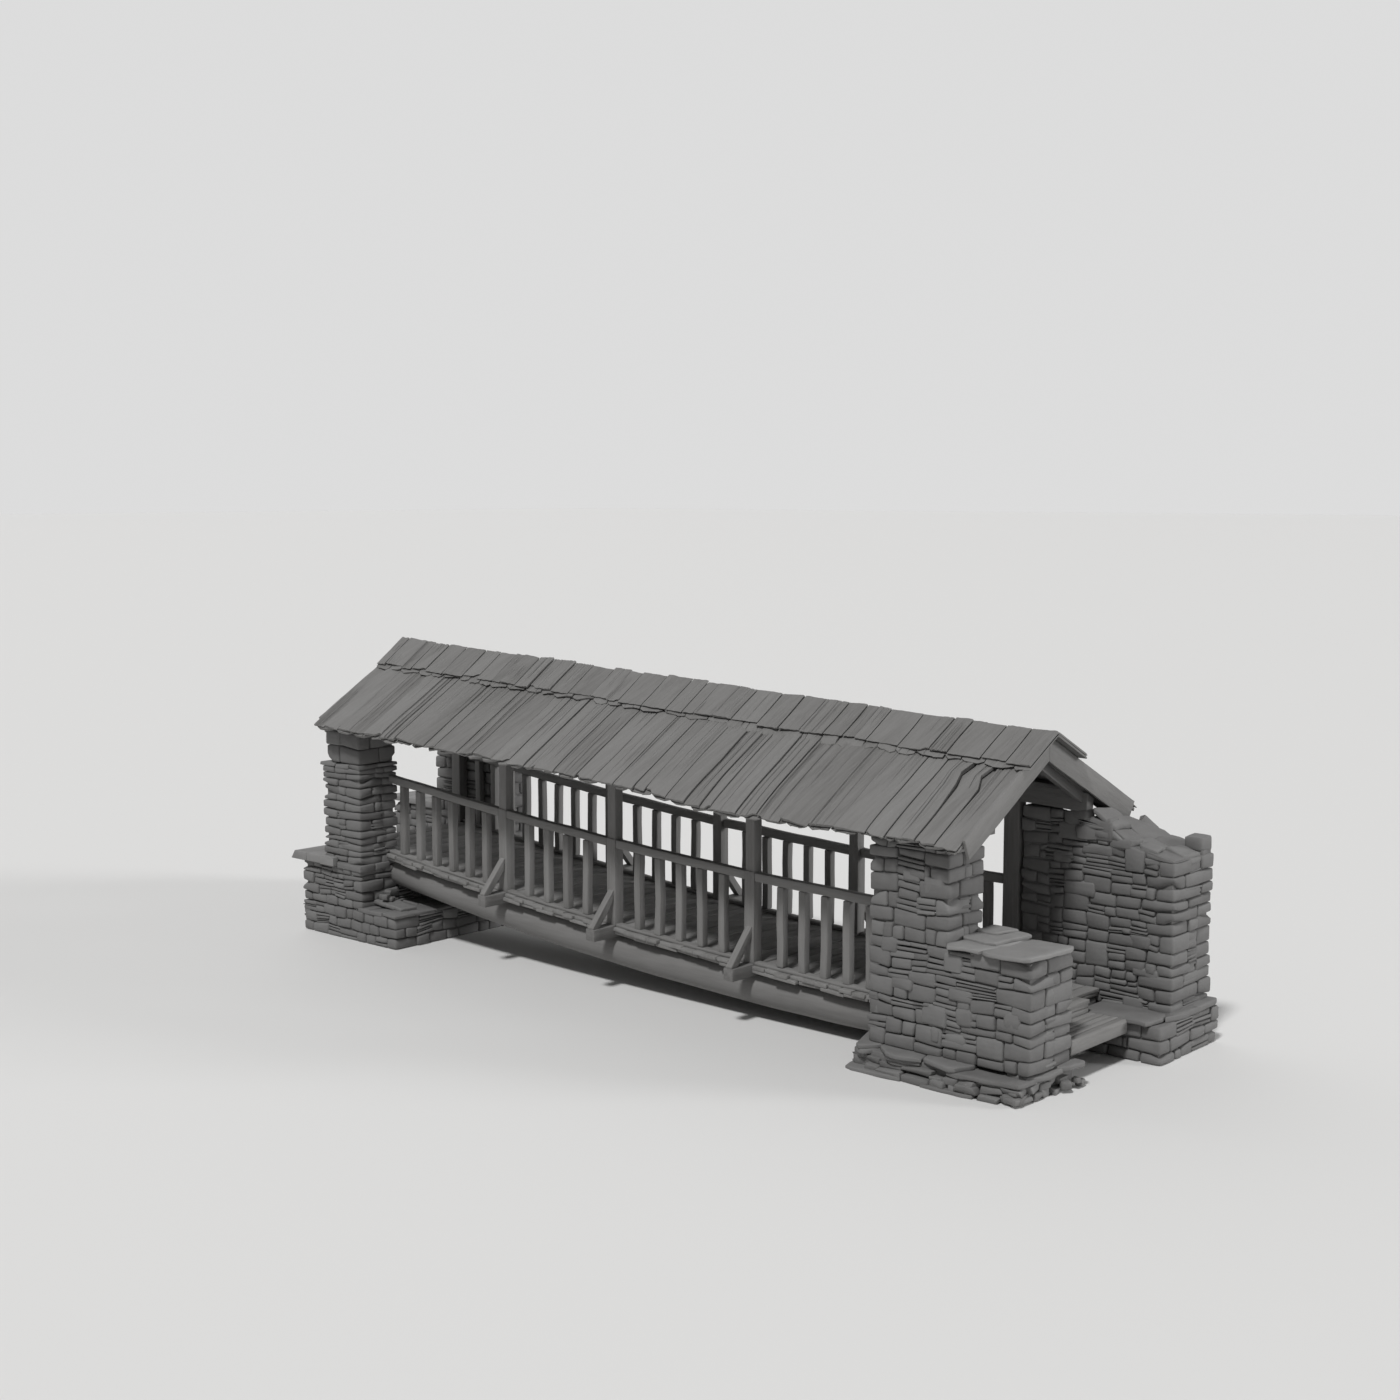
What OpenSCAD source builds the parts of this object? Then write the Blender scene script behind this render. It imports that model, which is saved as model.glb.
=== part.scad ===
// Rustic covered footbridge: two log girders carry a sagging deck between masonry ends,
// a gable roof of long riven boards stands on square posts and stone piers.
// Lengths are in millimetres. +X runs along the deck to its low end, +Y is the back, +Z is up.

/* [Span and deck line] */
// Clear length of the first bay, from the high end pier to the first post
bay_1 = 2294; // [1600:1:3000]
// Clear length of the second bay
bay_2 = 1877; // [1500:1:3000]
// Clear length of the third bay
bay_3 = 2143; // [1500:1:3000]
// Clear length of the fourth bay, up to the low end pier
bay_4 = 2083; // [1600:1:3000]
// Deck height above the ground at the high end pier
deck_left_z = 1200; // [1100:1:1500]
// Deck height above the ground at the low end pier
deck_right_z = 640; // [600:1:900]
// Sag of the deck below a straight line at mid span
deck_sag = 108; // [0:1:160]
// Clear width between the posts of the two sides
walk_w = 1882; // [1500:1:2400]

/* [Girders and deck] */
// Radius of each log girder at mid span
log_r = 215; // [190:1:240]
// How much thinner each log is at its ends, by radius
log_taper = 30; // [0:1:40]
// Depth hewn off the top of each log
log_flat = 25; // [10:1:60]
// Distance of each log's centre line inside the outer face of the posts
log_inset = 210; // [205:1:520]
// Length of log that bears on each abutment
log_bearing = 480; // [300:1:560]
// Thickness of the top deck boards
board_t = 45; // [30:1:70]
// Width of one top deck board with its gap
board_pitch = 190; // [140:1:300]
// Thickness of the lower layer of deck boards
under_t = 45; // [30:1:70]
// Width of one lower deck board with its gap
under_pitch = 330; // [250:1:450]
// Thickness of the bearers on the logs
bearer_t = 45; // [30:1:80]
// Width of the bearers
bearer_w = 120; // [80:1:160]
// Gap between neighbouring boards
board_gap = 6; // [2:1:12]
// Overhang of the longest deck boards past the posts
board_overhang = 85; // [40:1:140]
// How much shorter the most ragged deck board end is
deck_ragged = 60; // [0:1:80]
// Height of the cross beams above the deck boards
cross_up = 15; // [0:1:40]
// Reach of the cross beams past the posts
cross_reach = 385; // [250:1:460]
// Drop from the deck to each threshold
threshold_drop = 140; // [100:1:180]
// Length of each threshold
threshold_len = 480; // [360:1:520]
// Depth of the joists and of the front beam under the low threshold
joist_h = 110; // [80:1:130]

/* [Posts and rails] */
// Side of a square post
post_w = 149; // [110:1:200]
// Set back of the upper part of a post
post_step = 14; // [0:1:30]
// Width of the end post at the high end, back side
end_post_left_w = 180; // [140:1:240]
// Width of the end post at the low end, back side
end_post_right_w = 210; // [140:1:260]
// Height of the handrail above the deck
rail_z = 1120; // [950:1:1250]
// Depth of the handrail
rail_h = 110; // [60:1:140]
// Width of the handrail and the sill
rail_w = 110; // [80:1:149]
// Height of the sill
sill_h = 45; // [30:1:90]
// Side of a square baluster
baluster_w = 100; // [50:1:109]
// Spacing of the balusters in the first bay
pitch_1 = 342; // [250:1:380]
// Spacing of the balusters in the second bay
pitch_2 = 363; // [250:1:400]
// Spacing of the balusters in the third bay
pitch_3 = 350; // [250:1:400]
// Spacing of the balusters in the fourth bay
pitch_4 = 325; // [250:1:380]
// Thickness of the braces
brace_w = 90; // [60:1:110]
// Rise of the braces on the posts
brace_rise = 450; // [300:1:600]

/* [Roof] */
// Height of the ridge above the ground at mid span
ridge_z = 3930; // [3800:1:4300]
// Pitch of the two slopes in degrees
roof_pitch = 27.6; // [24:0.1:32]
// Fall of the ridge towards the low end in degrees
roof_fall = 2.35; // [0:0.05:2.6]
// Half width of the roof at the eaves
eave_half = 1905; // [1750:1:2100]
// Overhang of the ridge past the high end pier face
roof_left = 940; // [700:1:1000]
// Overhang of the ridge past the low end pier face
roof_right = 1258; // [1100:1:1340]
// Overhang of the upper course past the barge boards at the high end
upper_over_high = 40; // [0:1:80]
// Overhang of the upper course past the barge boards at the low end
upper_over_low = 105; // [0:1:140]
// Lean of the lower course at the high end, sideways per length
lean_high = 0.15; // [0:0.01:0.2]
// Lean of the lower course at the low end, sideways per length
lean_low = 0.06; // [0:0.01:0.12]
// Lean of the upper course at the high end, sideways per length
upper_lean_high = 0.25; // [0:0.01:0.3]
// Lean of the upper course at the low end, sideways per length
upper_lean_low = 0.05; // [0:0.01:0.12]
// How far the boards sag past the eave line, near mid span
eave_sag = 80; // [0:1:120]
// Reach of the front boards past the ridge
ridge_over = 70; // [20:1:90]
// Thickness of one layer of roof boards
shake_t = 45; // [25:1:60]
// Thickness of one layer of the upper course
upper_t = 30; // [20:1:40]
// Length of the upper course down the slope
upper_len = 655; // [450:1:900]
// Average width of a roof board
shake_w = 240; // [180:1:300]
// How much shorter the most ragged roof board is
roof_ragged = 70; // [0:1:120]
// How much thinner than its layer the thinnest board of the upper course is
board_spread = 14; // [0:1:20]
// Thickness of the battens
batten_t = 40; // [25:1:60]
// Width of the battens
batten_w = 90; // [60:1:140]
// Depth of the rafters
rafter_h = 110; // [80:1:160]
// Width of the rafters
rafter_w = 90; // [60:1:140]
// Number of rafters on each slope
rafter_count = 10; // [8:1:14]
// Depth of the wall plates at their outer face
plate_h = 150; // [100:1:200]
// Depth of the barge boards
barge_h = 245; // [200:1:300]
// Depth of the second rafter under the last one at the low end
gable_rafter_h = 105; // [60:1:130]
// Thickness of the barge boards
barge_t = 38; // [25:1:60]

/* [Stone at the high end] */
// Length of the base of the high end
left_base_len = 2060; // [1900:1:2400]
// Length of the base in front of the pier face
left_base_front = 747; // [500:1:900]
// Height of the base ledge
left_base_h = 480; // [300:1:520]
// Outer face of the front masonry from the middle of the walk
stone_half = 1602; // [1500:1:1700]
// Thickness of the front piers
pier_t = 671; // [500:1:750]
// Length of the front pier
left_pier_len = 802; // [600:1:1000]
// Length of the low wing beside the front pier
left_wing_len = 510; // [300:1:560]
// Height of the top of the wing
left_wing_z = 1030; // [850:1:1060]
// Thickness of the cap slabs
cap_t = 120; // [80:1:180]
// Overhang of the cap slabs
cap_over = 90; // [40:1:140]
// Length of the sloping end of the front cap
cap_slope = 80; // [0:1:120]
// Height of the band of stone round the pier
band_z = 1000; // [900:1:1080]
// Depth of that band
band_h = 90; // [50:1:140]
// Projection of the band
band_out = 30; // [10:1:60]
// Length of the back pier
back_pier_len = 1450; // [1000:1:1600]
// Height of the back pier
back_pier_z = 2750; // [2300:1:2800]
// Length of the low wing beside the back pier
back_wing_len = 1050; // [600:1:1200]
// Height of the top of the back wing
back_wing_z = 1400; // [1000:1:1600]

/* [Stone at the low end] */
// Length of the front pier
right_pier_len = 1037; // [800:1:1200]
// Length of the wing beside the front pier
right_wing_len = 1030; // [700:1:1100]
// Thickness of that wing
right_wing_t = 822; // [671:1:850]
// Height of the top of the wing
right_wing_z = 1480; // [1200:1:1700]
// Height of the base ledge
right_base_h = 290; // [150:1:340]
// Projection of the base ledge to the front
right_base_out = 268; // [150:1:300]
// Projection of the base ledge towards the span
right_base_in = 240; // [100:1:300]
// Length of the tall back wall
wall_len = 1900; // [1700:1:2100]
// Thickness of the tall back wall
wall_t = 910; // [700:1:960]
// Height of the tall back wall at its outer end
wall_end_z = 2190; // [1900:1:2300]
// Projection of the foot of the wall past its end, at the back
foot_out = 180; // [120:1:240]
// How much less the foot projects at its inner corner
foot_skew = 110; // [0:1:160]
// Length of the foot along the walk
foot_len = 1020; // [900:1:1060]
// Projection of the foot into the walk
foot_in = 480; // [300:1:500]
// Height of the foot
foot_h = 440; // [300:1:460]

/* [Hidden] */

// Clearance between pieces that only rest on each other, and between stone and timber
seat = 0.3;
stone_gap = 10;
post_half = walk_w / 2 + post_w;
pier_inner = stone_half - pier_t;
back_stone = post_half + stone_gap;
back_outer = back_stone + pier_t - 71;
wall_inner = walk_w / 2 + stone_gap;
span = bay_1 + bay_2 + bay_3 + bay_4 + 3 * post_w;

// Distances along the walk from the pier faces
back_pier_set = 81;
end_post_set = 68;
wall_set = end_post_set + end_post_right_w + 90;
deck_past_left = 828;
deck_past_right = 1580;

// The origin lies under the middle of the whole object
left_reach = span / 2 + back_pier_set + back_pier_len + back_wing_len + cap_over;
right_reach = span / 2 + wall_set + wall_len + foot_out;
mid = (left_reach - right_reach) / 2;
left_face = mid - span / 2;
right_face = mid + span / 2;
wall_end = right_face + wall_set + wall_len;
foot_start = wall_end + foot_out - foot_len;
foot_edge = wall_inner - foot_in - 50;
right_core_front = -stone_half + right_wing_t + stone_gap;
joist_start = foot_start - 250;
log_gap = 2 * (post_half - log_inset);

// Deck line: a sagging curve, held at evenly spaced stations
station_count = 32;
line_lo = left_face - span / 4;
line_step = span * 1.5 / station_count;
function curve(t) = deck_left_z + (deck_right_z - deck_left_z) * t - 4 * deck_sag * t * (1 - t);
function station(i) = line_lo + i * line_step;
deck_line = [for (i = [0 : station_count]) [station(i), curve((station(i) - left_face) / span)]];
function deck(x) = lookup(x, deck_line);
function run(x0, x1) = concat([x0], [for (p = deck_line) if (p[0] > x0 + 1 && p[0] < x1 - 1) p[0]], [x1]);
function back(list) = [for (i = [len(list) - 1 : -1 : 0]) list[i]];

// Left faces of the three posts on each side, and of the end posts at the back
post_x = [
    left_face + bay_1,
    left_face + bay_1 + bay_2 + post_w,
    left_face + bay_1 + bay_2 + bay_3 + 2 * post_w
];
deck_lo = left_face - deck_past_left;
deck_hi = right_face + deck_past_right;
end_post_left_x = deck_lo - end_post_left_w + 28;
end_post_right_x = right_face + end_post_set;

// Levels of the deck's layers below its upper face
under_bottom = board_t + under_t;
cross_bottom = under_bottom + bearer_t;
log_bottom = cross_bottom - log_flat + 2 * (log_r - log_taper);
log_lo = left_face - log_bearing;
log_hi = right_face + log_bearing;
left_threshold_z = deck(deck_lo) - threshold_drop;
right_threshold_z = deck(deck_hi) - threshold_drop;

// Roof: depths are measured square to the slope from the upper face of the lower course
roof_apex_z = ridge_z - 2 * upper_t / cos(roof_pitch);
roof_lo = left_face - roof_left - mid;
roof_hi = right_face + roof_right - mid;
slope_len = eave_half / cos(roof_pitch);
lower_lean = [lean_high, lean_low];
upper_lean = [upper_lean_high, upper_lean_low];
batten_depth = 2 * shake_t;
rafter_depth = batten_depth + batten_t;
under_depth = rafter_depth + rafter_h;
rafter_foot = 280;
barge_foot = 160;
barge_top = 12;
plate_drop = post_half * tan(roof_pitch) + under_depth / cos(roof_pitch) + plate_h;
function plate_z(x) = roof_apex_z - plate_drop / cos(roof_fall) - (x - mid) * tan(roof_fall);

timber = "#8f8b84";
dark_timber = "#77736c";
stone = "#85837f";
pale_stone = "#918f8a";

module block(x0, x1, y0, y1, z0, z1) {
    translate([x0, y0, z0])
        cube([x1 - x0, y1 - y0, z1 - z0]);
}

// Outline drawn in X and Z, given thickness along Y
module side_plate(y0, y1) {
    translate([0, y1, 0])
        rotate([90, 0, 0])
            linear_extrude(y1 - y0)
                children();
}

// Timber between two heights above the deck line
module strip(x0, x1, lo, hi, y0, y1) {
    xs = run(x0, x1);
    side_plate(y0, y1)
        polygon(concat([for (x = xs) [x, deck(x) + lo]], [for (x = back(xs)) [x, deck(x) + hi]]));
}

// Masonry with a level foot whose top follows the deck line at a depth below it
module bed(x0, x1, z0, depth, y0, y1) {
    side_plate(y0, y1)
        polygon(concat([[x0, z0], [x1, z0]], [for (x = back(run(x0, x1))) [x, deck(x) - depth]]));
}

// Upright timber from a height above the deck line up to the wall plate
module upright(x0, w, y0, y1, lo) {
    side_plate(y0, y1)
        polygon([[x0, deck(x0) + lo], [x0 + w, deck(x0 + w) + lo],
            [x0 + w, plate_z(x0 + w)], [x0, plate_z(x0)]]);
}

module mirror_back() {
    mirror([0, 1, 0]) children();
}

// Frame of the roof, whose origin is the ridge at mid span
module roof_frame() {
    translate([mid, 0, roof_apex_z])
        rotate([0, roof_fall, 0])
            children();
}

// Outline drawn in Y and Z, given thickness along X
module cross_plate(x0, x1) {
    translate([x0, 0, 0])
        rotate([90, 0, 90])
            linear_extrude(x1 - x0)
                children();
}

// Piece of the front slope: s is measured down the slope and t into the roof
module slope_piece(x0, x1, s, t0, t1) {
    ridge0 = seat + t0 * tan(roof_pitch);
    ridge1 = seat + t1 * tan(roof_pitch);
    roof_frame()
        rotate([roof_pitch, 0, 0])
            cross_plate(x0, x1)
                polygon([[-s, -t0], [-ridge0, -t0], [-ridge1, -t1], [-s, -t1]]);
}

// Plate lying in the front slope, whose outline is drawn in X and in distance down the slope
module slope_plate(t0, t1) {
    roof_frame()
        rotate([roof_pitch, 0, 0])
            translate([0, 0, -t1])
                linear_extrude(t1 - t0)
                    mirror([0, 1])
                        children();
}

// Everything below the underside of the rafters
module under_roof() {
    reach = 3000;
    drop = under_depth / cos(roof_pitch) + seat;
    foot = drop + reach * tan(roof_pitch);
    roof_frame()
        cross_plate(-span, span)
            polygon([[-reach, -6000], [reach, -6000], [reach, -foot], [0, -drop], [-reach, -foot]]);
}

// Room for the barge board at the back of the low end
module verge_room() {
    reach = 1.2 * slope_len;
    mirror_back()
        slope_plate(-500, barge_top + barge_h + stone_gap)
            polygon([[roof_hi - barge_t - stone_gap, -100], [roof_hi + 3 * stone_gap, -100],
                [roof_hi + 3 * stone_gap + lean_low * reach, reach],
                [roof_hi - barge_t - stone_gap + lean_low * reach, reach]]);
}

// Everything below the wall plates
module under_plates() {
    side_plate(-3000, 3000)
        polygon([[mid - span, -1], [mid + span, -1],
            [mid + span, plate_z(mid + span) - seat], [mid - span, plate_z(mid - span) - seat]]);
}

// Room in the masonry for the ends of the logs
module log_pockets() {
    reach = log_gap / 2 + log_r - log_taper + stone_gap;
    strip(log_lo - stone_gap, left_face + 1, -log_bottom - stone_gap, -under_bottom, -reach, reach);
    strip(right_face - right_base_in - 1, log_hi + stone_gap, -log_bottom - stone_gap, -under_bottom,
        -reach, reach);
}

// Stone at the high end

module left_base_plan() {
    lo = left_face + left_base_front - left_base_len;
    hi = left_face + left_base_front;
    notch = left_face - back_pier_set + seat;
    inner = back_stone - seat;
    polygon([[lo, -stone_half], [hi, -stone_half], [hi, back_outer], [notch, back_outer],
        [notch, inner], [lo, inner]]);
}

module left_abutment() {
    lo = left_face + left_base_front - left_base_len;
    core_front = -pier_inner + seat;
    core_back = back_stone - seat;
    color(stone)
        union() {
            linear_extrude(left_base_h) left_base_plan();
            bed(log_lo - stone_gap, left_face, left_base_h - 1, log_bottom + seat, core_front, core_back);
            bed(deck_lo, log_lo - stone_gap, left_base_h - 1, under_bottom + seat, core_front, core_back);
            block(lo, deck_lo, core_front, core_back, left_base_h - 1, left_threshold_z - board_t - seat);
        }
}

module rubble_bank() {
    side_plate(-stone_half + 200, -log_gap / 2 - log_r - stone_gap)
        polygon([[left_face + seat, left_base_h], [left_face + 640, left_base_h], [left_face + 540, 570],
            [left_face + 260, 650], [left_face + seat, 700]]);
}

module front_rubble_bank() {
    color(pale_stone) rubble_bank();
}

module back_rubble_bank() {
    color(pale_stone) mirror_back() rubble_bank();
}

module front_left_pier() {
    lo = left_face - left_pier_len;
    shoulder_z = 2500;
    shoulder_t = 60;
    top_set = 100;
    color(stone)
        difference() {
            intersection() {
                union() {
                    block(lo, left_face, -stone_half, -pier_inner, left_base_h, shoulder_z);
                    block(lo - left_wing_len, lo + 1, -stone_half, -pier_inner, left_base_h, left_wing_z);
                    block(lo + top_set, left_face, -stone_half, -pier_inner, shoulder_z - 1, 3600);
                    block(lo - shoulder_t, lo + 300, -stone_half - 20, -pier_inner,
                        shoulder_z - shoulder_t, shoulder_z);
                    block(lo + 300, left_face + band_out, -stone_half - band_out,
                        -pier_inner + seat - post_w, band_z, band_z + band_h);
                }
                under_roof();
                under_plates();
            }
            log_pockets();
        }
}

module front_left_cap() {
    lo = left_face - left_pier_len;
    end = lo - left_wing_len - cap_over;
    color(pale_stone)
        difference() {
            side_plate(-stone_half - cap_over, -pier_inner)
                polygon([[end - cap_slope, left_wing_z + seat], [lo + 300 - seat, left_wing_z + seat],
                    [lo + 300 - seat, left_wing_z + cap_t], [end, left_wing_z + cap_t]]);
            block(lo - seat, left_face, -stone_half - seat, stone_half, 0, 2000);
        }
}

module back_left_pier() {
    hi = left_face - back_pier_set;
    color(stone)
        difference() {
            intersection() {
                block(hi - back_pier_len, hi, back_stone, back_outer, 0, back_pier_z);
                under_roof();
            }
            log_pockets();
        }
}

module back_left_wing() {
    hi = left_face - back_pier_set - back_pier_len - seat;
    color(stone)
        block(hi - back_wing_len, hi, back_stone, back_outer, 0, back_wing_z);
}

module back_left_cap() {
    hi = left_face - back_pier_set - back_pier_len - seat;
    color(pale_stone)
        block(hi - back_wing_len - cap_over + seat, hi, back_stone - 40, back_outer + cap_over,
            back_wing_z + seat, back_wing_z + cap_t);
}

// Stone at the low end

module right_abutment() {
    seat_end = log_hi + stone_gap;
    front = right_core_front;
    step_z = right_threshold_z - board_t - joist_h - 2 * seat;
    color(stone)
        union() {
            bed(right_face + seat, seat_end, 0, log_bottom + seat, -pier_inner + stone_gap, walk_w / 2);
            bed(seat_end, joist_start, 0, under_bottom + seat, front, walk_w / 2);
            block(joist_start - 1, foot_start - 3 * stone_gap, front, walk_w / 2, 0, step_z);
        }
}

module right_ledge() {
    lo = right_face - right_base_in;
    hi = right_face + right_pier_len + right_wing_len + 20;
    front = -stone_half - right_base_out;
    inner = -pier_inner - seat;
    color(pale_stone)
        difference() {
            union() {
                block(hi - 1, hi + 110, -stone_half + 675, -stone_half + 980, 0, right_base_h - 90);
                linear_extrude(right_base_h)
                    polygon([[lo + 60, front + 80], [lo + 420, front + 20], [lo + 800, front + 60],
                        [lo + 1100, front + 130], [lo + 1500, front + 110], [hi - 480, front],
                        [hi, front + 60], [hi, -stone_half + right_wing_t],
                        [right_face + right_pier_len, -stone_half + right_wing_t],
                        [right_face + right_pier_len, inner], [lo, inner], [lo, front + 300]]);
                linear_extrude(right_base_h - 160)
                    polygon([[lo, front + 40], [lo + 700, front], [lo + 1300, front + 60],
                        [hi - 300, front + 10], [hi, front + 70], [hi, inner], [lo, inner]]);
            }
            log_pockets();
        }
}

module front_right_pier() {
    color(stone)
        difference() {
            intersection() {
                block(right_face, right_face + right_pier_len, -stone_half, -pier_inner,
                    right_base_h + seat, 3400);
                under_roof();
                under_plates();
            }
            log_pockets();
        }
}

module front_right_wing() {
    lo = right_face + right_pier_len + seat;
    color(stone)
        block(lo, lo + right_wing_len, -stone_half, -stone_half + right_wing_t,
            right_base_h + seat, right_wing_z);
}

module front_right_cap() {
    lo = right_face + right_pier_len;
    color(pale_stone)
        difference() {
            block(lo - 15, lo + right_wing_len - 45, -stone_half - cap_over,
                -stone_half + right_wing_t + 40, right_wing_z + seat, right_wing_z + cap_t);
            block(lo - 2 * cap_over, lo + seat, -stone_half - seat, stone_half, 0, 2000);
        }
}

module back_right_wall() {
    lo = right_face + wall_set;
    roof_end = mid + roof_hi;
    outer = wall_inner + wall_t;
    corner_w = 240;
    corner_h = 210;
    color(stone)
        difference() {
            union() {
                intersection() {
                    side_plate(wall_inner, outer)
                        polygon([[lo, 0], [wall_end, 0], [wall_end, wall_end_z],
                            [wall_end - 120, wall_end_z + 20],
                            [wall_end - 570, wall_end_z + 140], [wall_end - 770, wall_end_z + 290],
                            [roof_end + 60, wall_end_z + 510], [roof_end + 60, 4000], [lo, 4000]]);
                    under_roof();
                    under_plates();
                }
                block(wall_end - corner_w, wall_end + 30, outer - 280, outer + 20,
                    wall_end_z - 20, wall_end_z + corner_h);
            }
            verge_room();
            log_pockets();
        }
}

module back_right_foot() {
    outer = wall_inner + wall_t;
    inner = foot_edge + 50;
    end = wall_end + foot_out;
    slab_t = 70;
    color(pale_stone)
        difference() {
            union() {
                linear_extrude(foot_h)
                    polygon([[foot_start, inner], [end - foot_skew, inner], [end, outer - 300],
                        [end, outer + 20], [foot_start, outer + 20]]);
                translate([0, 0, foot_h - 1])
                    linear_extrude(slab_t + 1)
                        polygon([[foot_start - 20, foot_edge], [end - foot_skew - 20, foot_edge],
                            [end - 20, outer - 300], [end - 20, outer], [foot_start - 20, outer]]);
            }
            block(right_face, wall_end + seat, wall_inner - seat, outer + seat, -1, 3000);
        }
}

// Girders and deck

// One ring of a log: a circle with its top hewn flat
log_sides = 24;
function log_radius(x) = log_r - log_taper * min(1, pow((x - mid) / (span / 2 - line_step), 2));
function ring(x) = [
    for (k = [0 : log_sides - 1])
        let (a = -90 + 360 * k / log_sides, r = log_radius(x))
        [x, r * cos(a), deck(x) - cross_bottom + log_flat - r + min(r * sin(a), r - log_flat)]
];

module log_girder() {
    xs = run(log_lo, log_hi);
    rings = len(xs);
    points = [for (x = xs) each ring(x)];
    sides = [
        for (i = [0 : rings - 2])
            for (k = [0 : log_sides - 1])
                let (n = (k + 1) % log_sides, a = i * log_sides, b = a + log_sides)
                [a + k, b + k, b + n, a + n]
    ];
    first = [for (k = [0 : log_sides - 1]) k];
    last = [for (k = [log_sides - 1 : -1 : 0]) (rings - 1) * log_sides + k];
    translate([0, -log_gap / 2, 0])
        polyhedron(points, concat([first, last], sides));
}

module front_log() {
    color(timber) log_girder();
}

module back_log() {
    color(timber) mirror_back() log_girder();
}

// Stretches of deck between the cross beams
stretch = [
    [deck_lo, post_x[0]], [post_x[0] + post_w, post_x[1]],
    [post_x[1] + post_w, post_x[2]], [post_x[2] + post_w, deck_hi]
];

module log_bearers() {
    color(dark_timber)
        for (side = [-1, 1])
            for (part = stretch) {
                y = side * log_gap / 2;
                strip(max(part[0], log_lo), min(part[1], log_hi), -cross_bottom, -under_bottom,
                    y - bearer_w / 2, y + bearer_w / 2);
            }
}

module cross_beams() {
    color(timber)
        for (x = post_x)
            strip(x, x + post_w, -cross_bottom, cross_up, -post_half - cross_reach,
                post_half + cross_reach);
}

// How far the deck reaches to each side at a place along the walk
wing_start = right_face + right_pier_len;
wall_start = right_face + wall_set;
narrowing = foot_start - 3 * stone_gap;
function deck_front(x) =
    x > wing_start ? stone_half - right_wing_t - stone_gap
    : x < left_face || x > right_face ? pier_inner - stone_gap
    : post_half + board_overhang;
function deck_back(x) =
    x > narrowing ? foot_edge - stone_gap
    : x > wall_start - 150 ? walk_w / 2
    : x < left_face || x > right_face ? post_half
    : post_half + board_overhang;

// One layer of boards, cut in widths that fill each stretch between the cross beams
module board_layer(pitch, lo, hi, trim, seed) {
    for (j = [0 : len(stretch) - 1]) {
        cuts = j == 0 ? [stretch[0][0], left_face, stretch[0][1]]
            : j == 3 ? [stretch[3][0], right_face, wall_start - 150, wing_start, narrowing, stretch[3][1]]
            : stretch[j];
        for (c = [0 : len(cuts) - 2]) {
            length = cuts[c + 1] - cuts[c];
            count = max(1, round(length / pitch));
            ragged = rands(0, deck_ragged, 2 * count, seed + 10 * j + c);
            for (i = [0 : count - 1]) {
                x0 = cuts[c] + length * i / count + board_gap / 2;
                x1 = cuts[c] + length * (i + 1) / count - board_gap / 2;
                centre = (x0 + x1) / 2;
                open = centre > left_face && centre < right_face ? 1 : 0;
                strip(x0, x1, lo, hi,
                    -deck_front(centre) + trim + open * ragged[2 * i],
                    deck_back(centre) - trim - open * ragged[2 * i + 1]);
            }
        }
    }
}

module deck_underboards() {
    color(dark_timber) board_layer(under_pitch, -under_bottom, -board_t - seat, 10, 40);
}

module deck_boards() {
    color(timber) board_layer(board_pitch, -board_t, 0, 0, 80);
}

// Boards laid across the walk, one step below the deck
module threshold(x0, x1, z, y0, y1) {
    count = round((x1 - x0) / (board_pitch / 2));
    wide = (x1 - x0) / count;
    for (i = [0 : count - 1])
        block(x0 + i * wide + board_gap / 2, x0 + (i + 1) * wide - board_gap / 2, y0, y1, z - board_t, z);
}

module left_threshold() {
    color(timber)
        threshold(deck_lo - threshold_len, deck_lo, left_threshold_z, -pier_inner + stone_gap, post_half);
}

// Joists that rest on the low step of the masonry, with two risers under the end of the deck
module right_threshold() {
    front = right_core_front;
    rear = foot_edge - stone_gap;
    beam_w = 110;
    joist_w = 100;
    joist_top = right_threshold_z - board_t - seat;
    beam_x = deck_hi + threshold_len - beam_w;
    color(timber) {
        threshold(deck_hi, beam_x, right_threshold_z, front, rear);
        side_plate(front, rear)
            polygon([[beam_x, joist_top - joist_h], [deck_hi + threshold_len, joist_top - joist_h],
                [deck_hi + threshold_len, right_threshold_z - 25],
                [deck_hi + threshold_len - 25, right_threshold_z], [beam_x, right_threshold_z]]);
        for (y = [front + 60, (front + rear - joist_w) / 2, rear - 60 - joist_w])
            block(joist_start + seat, beam_x - seat, y, y + joist_w, joist_top - joist_h, joist_top);
        for (x = [joist_start + 30, deck_hi - 110])
            bed(x, x + 100, joist_top + seat, under_bottom + seat, front, rear);
    }
}

// Posts and rails

front_bays = [
    [left_face, post_x[0], pitch_1], [post_x[0] + post_w, post_x[1], pitch_2],
    [post_x[1] + post_w, post_x[2], pitch_3], [post_x[2] + post_w, right_face, pitch_4]
];
back_bays = [
    [end_post_left_x + end_post_left_w, post_x[0], pitch_1], [post_x[0] + post_w, post_x[1], pitch_2],
    [post_x[1] + post_w, post_x[2], pitch_3], [post_x[2] + post_w, end_post_right_x, pitch_4]
];

module rail(bays, lo, hi) {
    for (bay = bays)
        strip(bay[0], bay[1], lo, hi, -post_half, -post_half + rail_w);
}

module front_sill() {
    color(timber) rail(front_bays, seat, sill_h);
}

module back_sill() {
    color(timber) mirror_back() rail(back_bays, seat, sill_h);
}

module front_handrail() {
    color(timber) rail(front_bays, rail_z - rail_h, rail_z);
}

module back_handrail() {
    color(timber) mirror_back() rail(back_bays, rail_z - rail_h, rail_z);
}

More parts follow.
